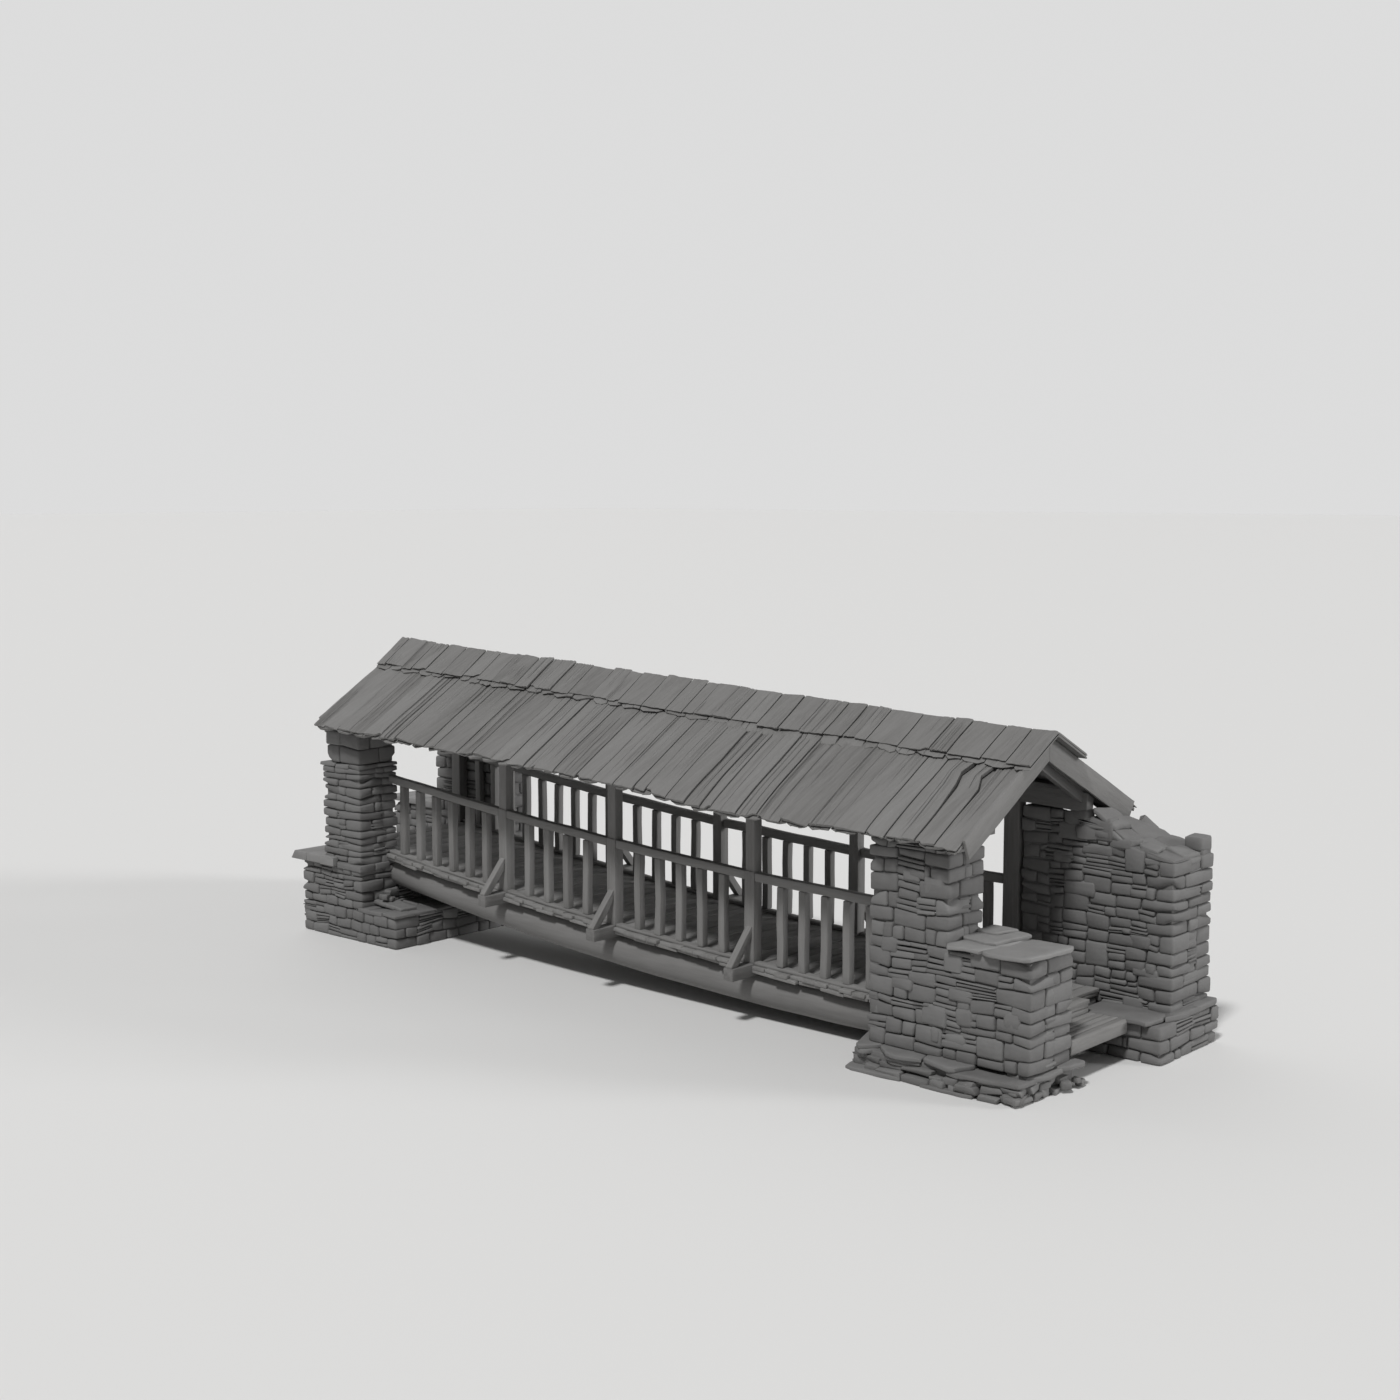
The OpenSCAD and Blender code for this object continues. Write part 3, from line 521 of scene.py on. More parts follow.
# roof boards; grooves, edges and feet are worked from these
boards = {
    "fine": (23, 13),
    "coarse": (9, 13),
    "gap": 0.014,
    "edge": 0.018,
    "wave": 0.014,
    "ragged": 0.060,
    "whole": (2.10, 0.45, 0.95),
    "grooves": (0.006, 0.010, 0.016, 0.022, 0.030),
    "grooved": 0.75,
    "grooveWide": 0.009,
    "uneven": 0.018,
    "lobe": (0.020, 0.03),
    "cornerLost": 0.28,
    "corner": (0.03, 0.07),
    "sunk": 0.016,
    "tip": 0.012,
    "fray": 0.010,
    "seams": {-3: (0.44, 0.050), -2: (0.40, 0.065)},
    "rows": (0, 0.09, 0.19, 0.30, 0.41, 0.52, 0.62, 0.71, 0.79, 0.86, 0.92, 0.965, 0.99, 1.0),
}


def modelPlank(name):
    across, along = boards[name]
    bpy.ops.object.select_all(action="DESELECT")
    bpy.ops.mesh.primitive_grid_add(x_subdivisions=across, y_subdivisions=along, size=2)
    obj = bpy.context.active_object
    obj.name = name + "Plank"
    openMesh(obj)
    bpy.ops.mesh.extrude_region_move(TRANSFORM_OT_translate={"value": (0, 0, -1)})
    bpy.ops.mesh.select_all(action="SELECT")
    bpy.ops.mesh.normals_make_consistent(inside=False)
    closeMesh()
    grid = points(obj)
    column = np.rint((grid[:, 0] + 1) / 2 * across) / across
    row = np.array(boards["rows"])[np.rint((1 - grid[:, 1]) / 2 * along).astype(int)]
    return obj, column, row, grid[:, 2] > -0.5


planks = {"fine": modelPlank("fine"), "coarse": modelPlank("coarse")}


# x along the ridge, s down the slope and t into the roof
def onRoof(x, s, t, front):
    p, f = roof["pitch"], roof["fall"]
    y = -s * math.cos(p) + t * math.sin(p)
    z = -s * math.sin(p) - t * math.cos(p)
    return np.stack([roof["apex"][0] + x * math.cos(f) + z * math.sin(f), front * y,
                     roof["apex"][1] - x * math.sin(f) + z * math.cos(f)], axis=1)


def eaveDip(x):
    return roof["sag"] * math.exp(-((x - roof["sagAt"]) / roof["sagWide"]) ** 2)


def near(value, centre, size):
    return np.exp(-((value - centre) / size) ** 2)


# where the columns of a plank stand across it, and how deep each is cut
def grooved(rng, column, width, count):
    cell = 0.9 / count
    grooves = [0.05 + cell * (k + pick(rng, (0.3, 0.7))) for k in range(count)]
    lip = min(0.28 * cell, boards["grooveWide"] / width)
    lines = [0.0, 0.012]
    depths = [0.0, 0.0]
    for groove in grooves:
        lines += [groove - lip, groove, groove + lip]
        depths += [0.0, rng.choice(boards["grooves"]) if rng.random() < boards["grooved"] else 0.0, 0.0]
    steps = np.linspace(0, 1, len(lines) + 2)
    return np.interp(column, steps, lines + [0.988, 1.0]), np.interp(column, steps, depths + [0.0, 0.0])


# how far down the slope the foot of a plank reaches
def footLine(rng, share, index, outer, middle, full, style, seed):
    at, wide, kept = boards["whole"]
    ragged = boards["ragged"] * (1 - kept * math.exp(-((middle - at) / wide) ** 2))
    ends = [full - rng.uniform(0, 1) ** 1.5 * ragged for _ in range(2)]
    if outer:
        ends = [full - 0.012] * 2
    if style == "square":
        ends = [ends[0], ends[0] + rng.uniform(-boards["uneven"], boards["uneven"])]
    reach = ends[0] + (ends[1] - ends[0]) * share
    if style == "lobed":
        waves, tuck = boards["lobe"]
        reach = reach + waves * np.sin(share * math.pi * rng.choice((1, 2, 3))) - tuck * (2 * share - 1) ** 6
    elif rng.random() < boards["cornerLost"] and not outer:
        corner = share if rng.random() < 0.5 else 1 - share
        reach = reach - pick(rng, boards["corner"]) * np.clip((corner - rng.uniform(0.55, 0.75)) * 6, 0, 1)
    return reach + boards["fray"] * ripple(index * 3.1, share * 5, seed)


def layPlanks(front, seed, low, high, widths, lean, head, foot, dip, t0, t1, style):
    rng = random.Random(seed)
    edges = [low]
    while high - edges[-1] > widths[1]:
        edges.append(edges[-1] + rng.uniform(*widths))
    edges.append(high)
    made = []
    kind = "coarse" if style == "lobed" else "fine"
    plank, column, row, above = planks[kind]
    last = len(edges) - 2
    for index, (a, b) in enumerate(zip(edges[:-1], edges[1:])):
        share, deep = grooved(rng, column, b - a, (boards[kind][0] - 3) // 3)
        start, stop = rng.uniform(-0.5, 0.6), rng.uniform(0.5, 1.4)
        deep = deep * np.clip(np.minimum(row - start, stop - row) * 4, 0, 1)
        middle = (a + b) / 2
        reach = footLine(rng, share, index, index in (0, last), middle, foot + dip * eaveDip(middle),
                         style, seed)
        droop = dip * roof["droop"] * eaveDip(middle) * np.clip((row - 0.7) * 3.3, 0, 1) ** 2
        top = np.full(share.shape, head)
        if head < 0:
            over = rng.uniform(0.25, 1.0) * (1.0 if a < 0.4 else 0.45)
            top = head * over * (1 + 0.25 * ripple(index * 1.7, share * 3, seed + 0.3))
        s = top + (reach - top) * row
        left, right = a + np.zeros(len(s)), b + np.zeros(len(s))
        if index:
            left = a + (boards["gap"] / 2 + boards["edge"] * ripple(a * 3.7, s * 1.4, seed))
        if index < last:
            right = b - (boards["gap"] / 2 - boards["edge"] * ripple(b * 3.7, s * 1.4, seed))
        seam = boards["seams"].get(index - last - 1) if front > 0 and style == "split" else None
        if seam:
            right = right - seam[1] * near(row, seam[0], 0.13) * (1 + 0.5 * np.sin(row * 34))
        x = left + (right - left) * share
        x = x + s * (lean[0] + (lean[1] - lean[0]) * (x - roof["low"]) / (roof["high"] - roof["low"]))
        sunk = rng.uniform(0, boards["sunk"])
        tip = rng.uniform(-boards["tip"], boards["tip"]) * (2 * share - 1)
        face = t0 + sunk + deep + tip + boards["wave"] * (0.5 + ripple(x * 2.2, s * 0.9, seed + 0.7))
        face = face + 0.005 * ripple(x * 17, s * 1.1, seed + 0.2)
        face = face + 0.009 * np.clip((np.abs(2 * share - 1) - 0.955) * 22, 0, 1)  # rounded edges
        face = face + 0.008 * np.clip((row - 0.975) * 40, 0, 1)  # and foot
        if seam:
            face = face - 0.012 * near(row, seam[0], 0.2) * np.clip(share * 4 - 3, 0, 1)
        if style != "square" or head < 0:
            curl = ripple(index * 2.3, share * 2, seed + 0.9)
            face = face - 0.006 * np.clip((row - 0.80) * 5, 0, 1) * curl
        t = np.where(above, np.clip(face, t0 - 0.004, t1 - 0.006), t1)
        if style != "square":
            t = t + droop
        made.append(cast(plank, onRoof(x, s, t, front), rng.random()))
    return made


def buildRoof():
    thick, thin, seat = roof["shake"], roof["upper"], roof["seat"]
    low, high, foot = roof["low"], roof["high"], roof["length"]
    under, over = thick * math.tan(roof["pitch"]), {1: -0.064, -1: 0.020}
    wide = (low - 0.078, high + 0.143)
    for side, front, seed in (("front", 1, 3), ("back", -1, 7)):
        lower = layPlanks(front, seed, low, high, (0.15, 0.44), roof["lowerLean"], seat + under,
                          foot, 1, 0, thick - seat, "split")
        lower += layPlanks(front, seed + 20, low, high, (0.22, 0.42), roof["lowerLean"], seat + 2 * under,
                           foot - 0.012, 1, thick, 2 * thick, "lobed")
        upper = layPlanks(front, seed + 40, *wide, (0.16, 0.48), roof["upperLean"], over[front],
                          roof["upperLength"], 0.4, -2 * thin, -thin - seat, "square")
        upper += layPlanks(front, seed + 60, *wide, (0.20, 0.40), roof["upperLean"], seat,
                           roof["upperLength"] + 0.050, 0.9, -thin, -seat, "lobed")
        if front < 0:
            for part in lower + upper:
                openMesh(part)
                bpy.ops.mesh.flip_normals()
                closeMesh()
        look = "roof" + side.capitalize()
        finished(lower, side + "_lower_boards", look, 30)
        finished(upper, side + "_upper_boards", look, 30)


buildRoof()
for source, _, _, _ in planks.values():
    bpy.data.objects.remove(source)
print("roof built")


# stonework: rounded blocks that share crooked joints, laid over each mass of masonry
stonework = {
    "lift": (0.27, 0.40),
    "quoinLong": (0.30, 0.44),
    "quoinShort": (0.16, 0.25),
    "sliver": (0.034, 0.078),
    "sliverRun": (0.22, 0.50),
    "slivers": 0.34,
    "wide": 0.58,
    "tall": 0.21,
    "single": 0.24,
    "least": 0.014,
    "thin": 0.075,
    "round": 0.026,
    "rough": 0.0045,
    "roughSize": 0.13,
    "joint": 0.0035,
    "depth": 0.14,
    "wander": 0.034,
    "wanderSize": 0.33,
    "pillow": 0.016,
    "proud": 0.012,
    "chipped": 0.35,
    "backing": 0.036,
    # tone of the backing core: painted shade, so the joints between stones read dark
    "backingShadeTone": 0.02,
    "smooth": 52,
}
allAround = ("front", "left", "right", "back")


def modelBlock(cuts):
    bpy.ops.object.select_all(action="DESELECT")
    bpy.ops.mesh.primitive_cube_add(size=2)
    obj = bpy.context.active_object
    openMesh(obj)
    bpy.ops.mesh.subdivide(number_cuts=cuts)
    closeMesh()
    return obj, points(obj), cuts


blocks = {"thin": modelBlock(2), "full": modelBlock(3), "slab": modelBlock(7)}


def between(corners, share):
    places = np.zeros_like(share)
    for index, corner in enumerate(corners):
        weight = np.ones(len(share))
        for axis in range(3):
            weight = weight * (share[:, axis] if index >> axis & 1 else 1 - share[:, axis])
        places += weight[:, None] * corner
    return places


# the eight corners of a stone: bent with its joints, set in by half a joint, jutting at its faces
def cornersIn(low, high, rng, out, bend, ceiling, proud, loose):
    middle = (low + high) / 2
    corners = []
    jut = pick(rng, (-1, 1)) * proud
    for index in range(8):
        corner = np.array([high[a] if index >> a & 1 else low[a] for a in range(3)])
        if bend:
            corner = corner + bend(corner)
        corner = corner + np.array([pick(rng, (-1, 1)) for _ in range(3)]) * loose
        for axis in range(3):
            towards = np.sign(middle[axis] - (high[axis] if index >> axis & 1 else low[axis]))
            corner[axis] += towards * stonework["joint"]
        for axis, sign in out:
            corner[axis] += sign * (stonework["joint"] + jut + pick(rng, (-0.004, 0.004)))
        if ceiling:
            corner[2] = min(corner[2], ceiling(corner[0], corner[1]))
        corners.append(corner)
    return corners


# a corner of the stone struck off at a slant
def chipped(places, rng, out, half):
    lean = np.zeros(3)
    for axis, sign in out:
        lean[axis] = sign * pick(rng, (0.6, 1.0)) / half[axis]
    lean[2] = rng.choice((-1, 1)) * pick(rng, (0.6, 1.0)) / half[2]
    lean /= np.linalg.norm(lean)
    reach = (places @ lean).max()
    spread = reach - (places @ lean).min()
    over = np.maximum(places @ lean - reach + spread * pick(rng, (0.06, 0.22)), 0)
    return places - over[:, None] * lean


# one stone in a box of x0, x1, y0, y1, z0, z1; out lists the open faces as axis and sign
def stoneIn(box, rng, out=(), bend=None, ceiling=None, kind=None, turn=0.0, chips=0.0,
            roundness=stonework["round"], pillow=stonework["pillow"], proud=stonework["proud"],
            rough=stonework["rough"], tone=None, loose=0.0):
    low, high = np.array(box[::2], float), np.array(box[1::2], float)
    size = high - low
    if size.min() < stonework["least"]:
        return []
    source, grid, cuts = blocks[kind or ("thin" if size.min() < stonework["thin"] else "full")]
    inner = 1 - 2 / (cuts + 1)
    half = size / 2
    radius = min(roundness, 0.46 * half.min())
    core = np.clip(grid / inner, -1, 1) * (half - radius)
    past = np.where(np.abs(grid) > inner + 0.01, np.sign(grid), 0)
    length = np.linalg.norm(past, axis=1, keepdims=True)
    share = ((core + radius * past / np.maximum(length, 1)) / half + 1) / 2
    corners = cornersIn(low, high, rng, out, bend, ceiling, proud, loose)
    heights = [corners[i + 4][2] - corners[i][2] for i in range(4)]
    if min(heights) < 0.004:
        if max(heights) < 0.025:
            return []
        for i in range(4):
            corners[i][2] = min(corners[i][2], corners[i + 4][2] - 0.004)
    places = between(corners, share)
    spread = 2 * share - 1
    if size[2] < 0.07 and out and out[0][0] != 2:
        along = 0 if size[0] > size[1] else 1
        heart = (share[:, along] - pick(rng, (0.35, 0.65))) * 2
        squeeze = 0.30 * np.abs(heart) ** 3 * pick(rng, (0.2, 1.0))
        places[:, 2] += (places[:, 2].mean() - places[:, 2]) * np.clip(squeeze, 0, 0.6)
    for axis, sign in out:
        first, second = [a for a in range(3) if a != axis]
        dome = (1 - spread[:, first] ** 4) * (1 - spread[:, second] ** 4)
        places[:, axis] += sign * pillow * pick(rng, (0.2, 1.0)) * dome * (spread[:, axis] * sign > 0)
    if rng.random() < chips:
        places = chipped(places, rng, out, half)
    shift = [pick(rng, (0, 50)) for _ in range(3)]
    places = places + drift(places, stonework["roughSize"], rough, shift)
    if turn:
        centre = places.mean(axis=0)
        spin = Matrix.Rotation(turn, 3, "Z")
        places = (places - centre) @ np.array(spin).T + centre
    if ceiling:
        places[:, 2] = np.minimum(places[:, 2], [ceiling(x, y) for x, y in places[:, :2]])
    places[:, 2] = np.maximum(places[:, 2], 0)
    return [cast(source, places, rng.random() if tone is None else tone)]


# the core that closes the joints from behind, its tone painted dark as shade in the joints
def backing(box, rng, ceiling=None, under=0.01, roundness=0.01):
    lid = (lambda x, y: ceiling(x, y) - under) if ceiling else None
    return stoneIn(box, rng, (), None, lid, "full", roundness=roundness, rough=0,
                   tone=stonework["backingShadeTone"])


# neighbours ask for the same corner and get the same shift, so their crooked joints fit
def crooked(box, seed):
    x0, x1, y0, y1, z0, z1 = box

    def bend(corner):
        x, y, z = corner
        fade = max(0, min(1, (z - z0) / 0.12, (z1 - z) / 0.12))
        side = max(0, min(1, max(min(x - x0, x1 - x), min(y - y0, y1 - y)) / 0.15))
        spot = Vector((x, y, z * 1.5)) / stonework["wanderSize"] + Vector((seed * 7.1, 0, 0))
        wave = noise.noise_vector(spot)
        across = 0.7 * stonework["wander"] * wave.x * side
        flat = min(x - x0, x1 - x) > min(y - y0, y1 - y)
        return np.array([across if flat else 0, 0 if flat else across,
                         stonework["wander"] * 1.3 * wave.z * fade])
    return bend


# a stretch of a face is split into cells of a0, a1, z0, z1: big stones, or beds of thin slivers
def shareOut(a0, a1, z0, z1, rng, cells, style):
    wide, tall = a1 - a0, z1 - z0
    slivers = 0.8 * style["slivers"]
    if wide > style["wide"] or (wide > 0.36 and rng.random() < 0.35):
        cut = a0 + wide * pick(rng, (0.34, 0.66))
        shareOut(a0, cut, z0, z1, rng, cells, style)
        shareOut(cut, a1, z0, z1, rng, cells, style)
    elif tall > style["tall"] and rng.random() < 0.9:
        cut = z0 + tall * pick(rng, (0.33, 0.67))
        shareOut(a0, a1, z0, cut, rng, cells, style)
        shareOut(a0, a1, cut, z1, rng, cells, style)
    elif tall > 0.075 and wide > 0.15 and rng.random() < slivers:
        count = max(2, round(tall / pick(rng, stonework["sliver"])))
        lines = [z0 + tall * (k + (pick(rng, (-0.3, 0.3)) if 0 < k < count else 0)) / count
                 for k in range(count + 1)]
        for low, high in zip(lines[:-1], lines[1:]):
            at = a0
            while at < a1 - 0.01:
                run = pick(rng, stonework["sliverRun"])
                if a1 - at - run < 0.14:
                    run = a1 - at
                cells.append((at - pick(rng, (0, 0.035)), at + run + pick(rng, (0, 0.035)), low, high))
                at += run
    elif wide > 3.2 * tall and wide > 0.26 and rng.random() < 0.5:
        cut = a0 + wide * pick(rng, (0.35, 0.65))
        shareOut(a0, cut, z0, z1, rng, cells, style)
        shareOut(cut, a1, z0, z1, rng, cells, style)
    else:
        cells.append((a0, a1, z0, z1))


def lifts(low, high, rng, span):
    heights = []
    while sum(heights) < high - low:
        heights.append(pick(rng, span))
    scale = (high - low) / sum(heights)
    edges = [low]
    for height in heights:
        edges.append(edges[-1] + height * scale)
    return list(zip(edges[:-1], edges[1:]))


# a mass lift by lift: quoins at its corners, cells between them and a core behind
def layMass(box, faces, seed, ceiling=None, style=None, quoins=True):
    x0, x1, y0, y1, z0, z1 = box
    wide, thick, deep = x1 - x0, y1 - y0, stonework["depth"]
    style = {**stonework, **(style or {})}
    rng = random.Random(seed)
    bend = crooked(box, seed)
    narrow = thick < 1.0 and "front" in faces and "back" in faces
    slim = narrow and wide < 0.9 and "left" in faces and "right" in faces
    stones = []
    flip = {}
    for low, high in lifts(z0, z1, rng, style["lift"]):
        cut = low + (high - low) * pick(rng, (0.42, 0.58))
        levels = [(low, cut), (cut, high)] if high - low > style["single"] else [(low, high)]
        used, meet = {}, {}
        for index, (sx, sy) in enumerate(((-1, -1), (1, -1), (1, 1), (-1, 1))):
            used[sx, sy] = sizes = []
            pair = {"left" if sx < 0 else "right", "front" if sy < 0 else "back"}
            if not quoins or not pair <= set(faces):
                sizes += [(0.0, 0.0)] * len(levels)
                continue
            for level, (c0, c1) in enumerate(levels):
                flip[index] = flat = not flip.get(index, index in (0, 1))
                long, short = pick(rng, stonework["quoinLong"]), pick(rng, stonework["quoinShort"])
                lx = min(long if flat else short, wide * 0.47)
                ly = min(short if flat else long, thick * 0.47)
                if narrow and sy < 0:
                    ly = thick * pick(rng, (0.30, 0.44) if flat else (0.56, 0.70))
                    meet["y", sx, level] = thick - ly
                elif narrow:
                    ly = meet.get(("y", sx, level), ly)
                    lx = min(short if ly > thick / 2 else long, wide * 0.47)
                if slim and ("x", sy, level) in meet:
                    lx = meet["x", sy, level]
                elif slim and rng.random() < 0.75:
                    lx = wide * pick(rng, (0.56, 0.68) if ly < thick / 2 else (0.32, 0.44))
                    meet["x", sy, level] = wide - lx
                sizes.append((lx, ly))
                spot = (x0, x0 + lx) if sx < 0 else (x1 - lx, x1)
                spot += (y0, y0 + ly) if sy < 0 else (y1 - ly, y1)
                stones += stoneIn((*spot, c0, c1), rng, ((0, sx), (1, sy)), bend, ceiling,
                                  chips=stonework["chipped"])
        for face in faces:
            sign = -1 if face in ("front", "left") else 1
            if face in ("front", "back"):
                axis, a0, a1 = 1, x0, x1
                first, last = ([s[0] for s in used[end, sign]] for end in (-1, 1))
            else:
                axis, a0, a1 = 0, y0, y1
                first, last = ([s[1] for s in used[sign, end]] for end in (-1, 1))
            cells = []
            shareOut(a0 + max(first), a1 - max(last), low, high, rng, cells, style)
            for (c0, c1), f, l in zip(levels, first, last):
                if max(first) - f > 0.03:
                    shareOut(a0 + f, a0 + max(first), c0, c1, rng, cells, style)
                if max(last) - l > 0.03:
                    shareOut(a1 - max(last), a1 - l, c0, c1, rng, cells, style)
            for b0, b1, c0, c1 in cells:
                if axis:
                    spot = (b0, b1, y0, y0 + deep) if sign < 0 else (b0, b1, y1 - deep, y1)
                else:
                    spot = (x0, x0 + deep, b0, b1) if sign < 0 else (x1 - deep, x1, b0, b1)
                stones += stoneIn((*spot, c0, c1), rng, ((axis, sign),), bend, ceiling)
    back = stonework["backing"]
    inside = (x0 + back, x1 - back, y0 + back, y1 - back, z0, z1 - 0.01)
    return stones + backing(inside, rng, ceiling)


# flat stones in rows over a level top
def layTop(x0, x1, y0, y1, level, seed, thick=0.05, size=0.34, ceiling=None, tilt=0.012):
    rng = random.Random(seed)
    stones = []
    rows = max(1, round((y1 - y0) / size))
    rowEdges = [y0 + (y1 - y0) * (i + (pick(rng, (-0.15, 0.15)) if 0 < i < rows else 0)) / rows
                for i in range(rows + 1)]
    for b0, b1 in zip(rowEdges[:-1], rowEdges[1:]):
        cols = max(1, round((x1 - x0) / (size * pick(rng, (0.85, 1.25)))))
        edges = [x0 + (x1 - x0) * (i + (pick(rng, (-0.28, 0.28)) if 0 < i < cols else 0)) / cols
                 for i in range(cols + 1)]
        for a0, a1 in zip(edges[:-1], edges[1:]):
            top = level - pick(rng, (0, 1)) * tilt
            deep = thick * pick(rng, (0.8, 1.3))
            stones += stoneIn((a0, a1, b0, b1, top - deep, top), rng, ((2, 1),), None, ceiling, "full",
                              pillow=0.005, proud=0.002, loose=tilt, roundness=0.014, chips=0.3)
    return stones


# a flat stone whose outline is given corner by corner
def slab(outline, low, high, seed, rough=0.005, sag=0.0, bevel=0.5, lean=(0, 0), ceiling=None):
    rng = random.Random(seed)
    source, grid, _ = blocks["slab"]
    ring = np.array(outline, float)
    middle = ring.mean(axis=0)
    angles = np.arctan2(*(ring - middle).T[::-1])
    order = np.argsort(angles)
    ring, angles = ring[order], angles[order]
    side = np.maximum(np.abs(grid[:, 0]), np.abs(grid[:, 1]))
    turn = np.arctan2(grid[:, 1], grid[:, 0])
    direction = np.stack([np.cos(turn), np.sin(turn)], axis=1)
    edge = np.zeros((len(grid), 2))
    for k, start in enumerate(angles):
        a, b = ring[k] - middle, ring[(k + 1) % len(ring)] - middle
        sweep = (angles[(k + 1) % len(ring)] - start) % (2 * math.pi)
        mask = (turn - start) % (2 * math.pi) < sweep + 1e-9
        run = b - a
        cross = direction[:, 0] * run[1] - direction[:, 1] * run[0]
        reach = (a[0] * run[1] - a[1] * run[0]) / np.where(np.abs(cross) < 1e-9, 1e-9, cross)
        edge[mask] = (direction * reach[:, None])[mask]
    thick = high - low
    rim = np.linalg.norm(edge, axis=1)
    inset = bevel * thick / 2 * (1 - np.sqrt(np.maximum(0, 1 - np.abs(grid[:, 2]) ** 3)))
    plan = middle + edge * (side * (1 - inset / np.maximum(rim, 0.01)))[:, None]
    z = (low + high) / 2 + grid[:, 2] * thick / 2
    z = z + (plan - middle) @ np.array(lean) - sag * side ** 4 * (0.5 + 0.5 * np.sin(turn * 2 + seed))
    places = np.column_stack([plan, z])
    places += drift(places, 0.16, rough, [pick(rng, (0, 50)) for _ in range(3)])
    places[:, 2] += 0.35 * thick * np.clip(side * 2 - 1, 0, 1) * np.array(
        [noise.noise(Vector((p[0] * 4, p[1] * 4, seed))) for p in places])
    if ceiling:
        places[:, 2] = np.minimum(places[:, 2], [ceiling(a, b) for a, b in places[:, :2]])
    places[:, 2] = np.maximum(places[:, 2], 0)
    return [cast(source, places, rng.random())]


# a rounded field stone
def lump(centre, half, seed, turn=0.0, rough=0.008, ceiling=None):
    low, high = np.array(centre) - half, np.array(centre) + half
    box = [v for pair in zip(low, high) for v in pair]
    least = min(half)
    return stoneIn(box, random.Random(seed), ((2, 1),), None, ceiling, "full", turn, 0.7,
                   roundness=0.45 * least, pillow=0.01, proud=0, rough=rough, loose=0.16 * least)


# rounded stones that stand in a wall's front face, each with x, z and its half sizes
def boulders(spots, face, seed, ceiling):
    stones = []
    for index, (x, z, wide, tall) in enumerate(spots):
        turn = 0.05 * math.sin(index * 2.1)
        stones += lump((x, face + 0.055, z), (wide, 0.072, tall), seed + index, turn, 0.012, ceiling)
    return stones


def masonry(node, stones, look="fieldstone"):
    finished(stones, node, look, stonework["smooth"])


def halves(stones, x):
    left = [s for s in stones if points(s)[:, 0].mean() < x]
    return left, [s for s in stones if s not in left]


# the underside of the roof, and of the plates that run below it
under = {
    "ridge": (0.1115, 3.5885),
    "plate": 2.868,
    "slope": 0.5228,
    "fall": 0.04104,
}


def fallAt(x):
    return (x - under["ridge"][0]) * under["fall"]


def freeRoofUnder(x, y):
    return under["ridge"][1] - abs(y) * under["slope"] - fallAt(x)


def roofUnder(x, y):
    return min(freeRoofUnder(x, y), under["plate"] - fallAt(x))


leftEnd = {
    "outer": -5.6225,
    "band": -5.1125,
    "upper": -5.0125,
    "shoulder": -5.17,
    "front": -1.602,
    "back": -0.931,
    "inner": (-0.9307, 1.0997),
    "apron": -4.40,
    "step": 0.435,
    "backPier": (-5.8415, -4.3915, 1.10, 1.70),
    "bank": ((-4.16, 0.15, 0.535), (-3.98, 0.16, 0.520), (-3.81, 0.13, 0.508)),
    "capBlocks": ((-5.90, -5.43), (-5.43, -5.115), (-5.115, -4.70)),
}


def buildBank(side, front):
    rng = random.Random(20 + front)
    pile = []
    for k in range(12):
        spot = (walk["left"] + pick(rng, (0.05, 0.20)), -front * pick(rng, (1.14, 1.34)),
                pick(rng, (0.50, 0.66)))
        half = (pick(rng, (0.04, 0.07)), pick(rng, (0.04, 0.06)), pick(rng, (0.03, 0.045)))
        pile += lump(spot, half, 900 + k + 50 * front, pick(rng, (-1.5, 1.5)))
    for k, (x, reach, level) in enumerate(leftEnd["bank"]):
        outline = [(x - reach, 1.39), (x + reach * 0.8, 1.395), (x + reach, 1.12), (x - reach * 0.7, 1.11)]
        outline = [(a, -front * b) for a, b in outline]
        pile += slab(outline, level - 0.03, level + 0.025, 940 + k + 50 * front, 0.007, lean=(-0.12, 0))
    masonry(side + "_rubble_bank", pile, "ledgeStone")


# the cap keeps the chamfered shape of its solid, cut into blocks
def buildLeftCap():
    cap = []
    for index, (low, high) in enumerate(leftEnd["capBlocks"]):
        block = copyOf("front_left_cap")
        openMesh(block)
        for x, way in ((low + 0.002, -1), (high - 0.002, 1)):
            bpy.ops.mesh.select_all(action="SELECT")
            bpy.ops.mesh.bisect(plane_co=(x, 0, 0), plane_no=(way, 0, 0), clear_outer=True, use_fill=True)
        closeMesh()
        worn(block, width=0.013, segments=3, angle_limit=math.radians(20))
        places = points(block)
        setPoints(block, places + drift(places, 0.3, 0.004, (index, 0, 0)))
        giveTone(block, 0.45 + 0.2 * index)
        cap.append(block)
    masonry("front_left_cap", cap, "capStone")


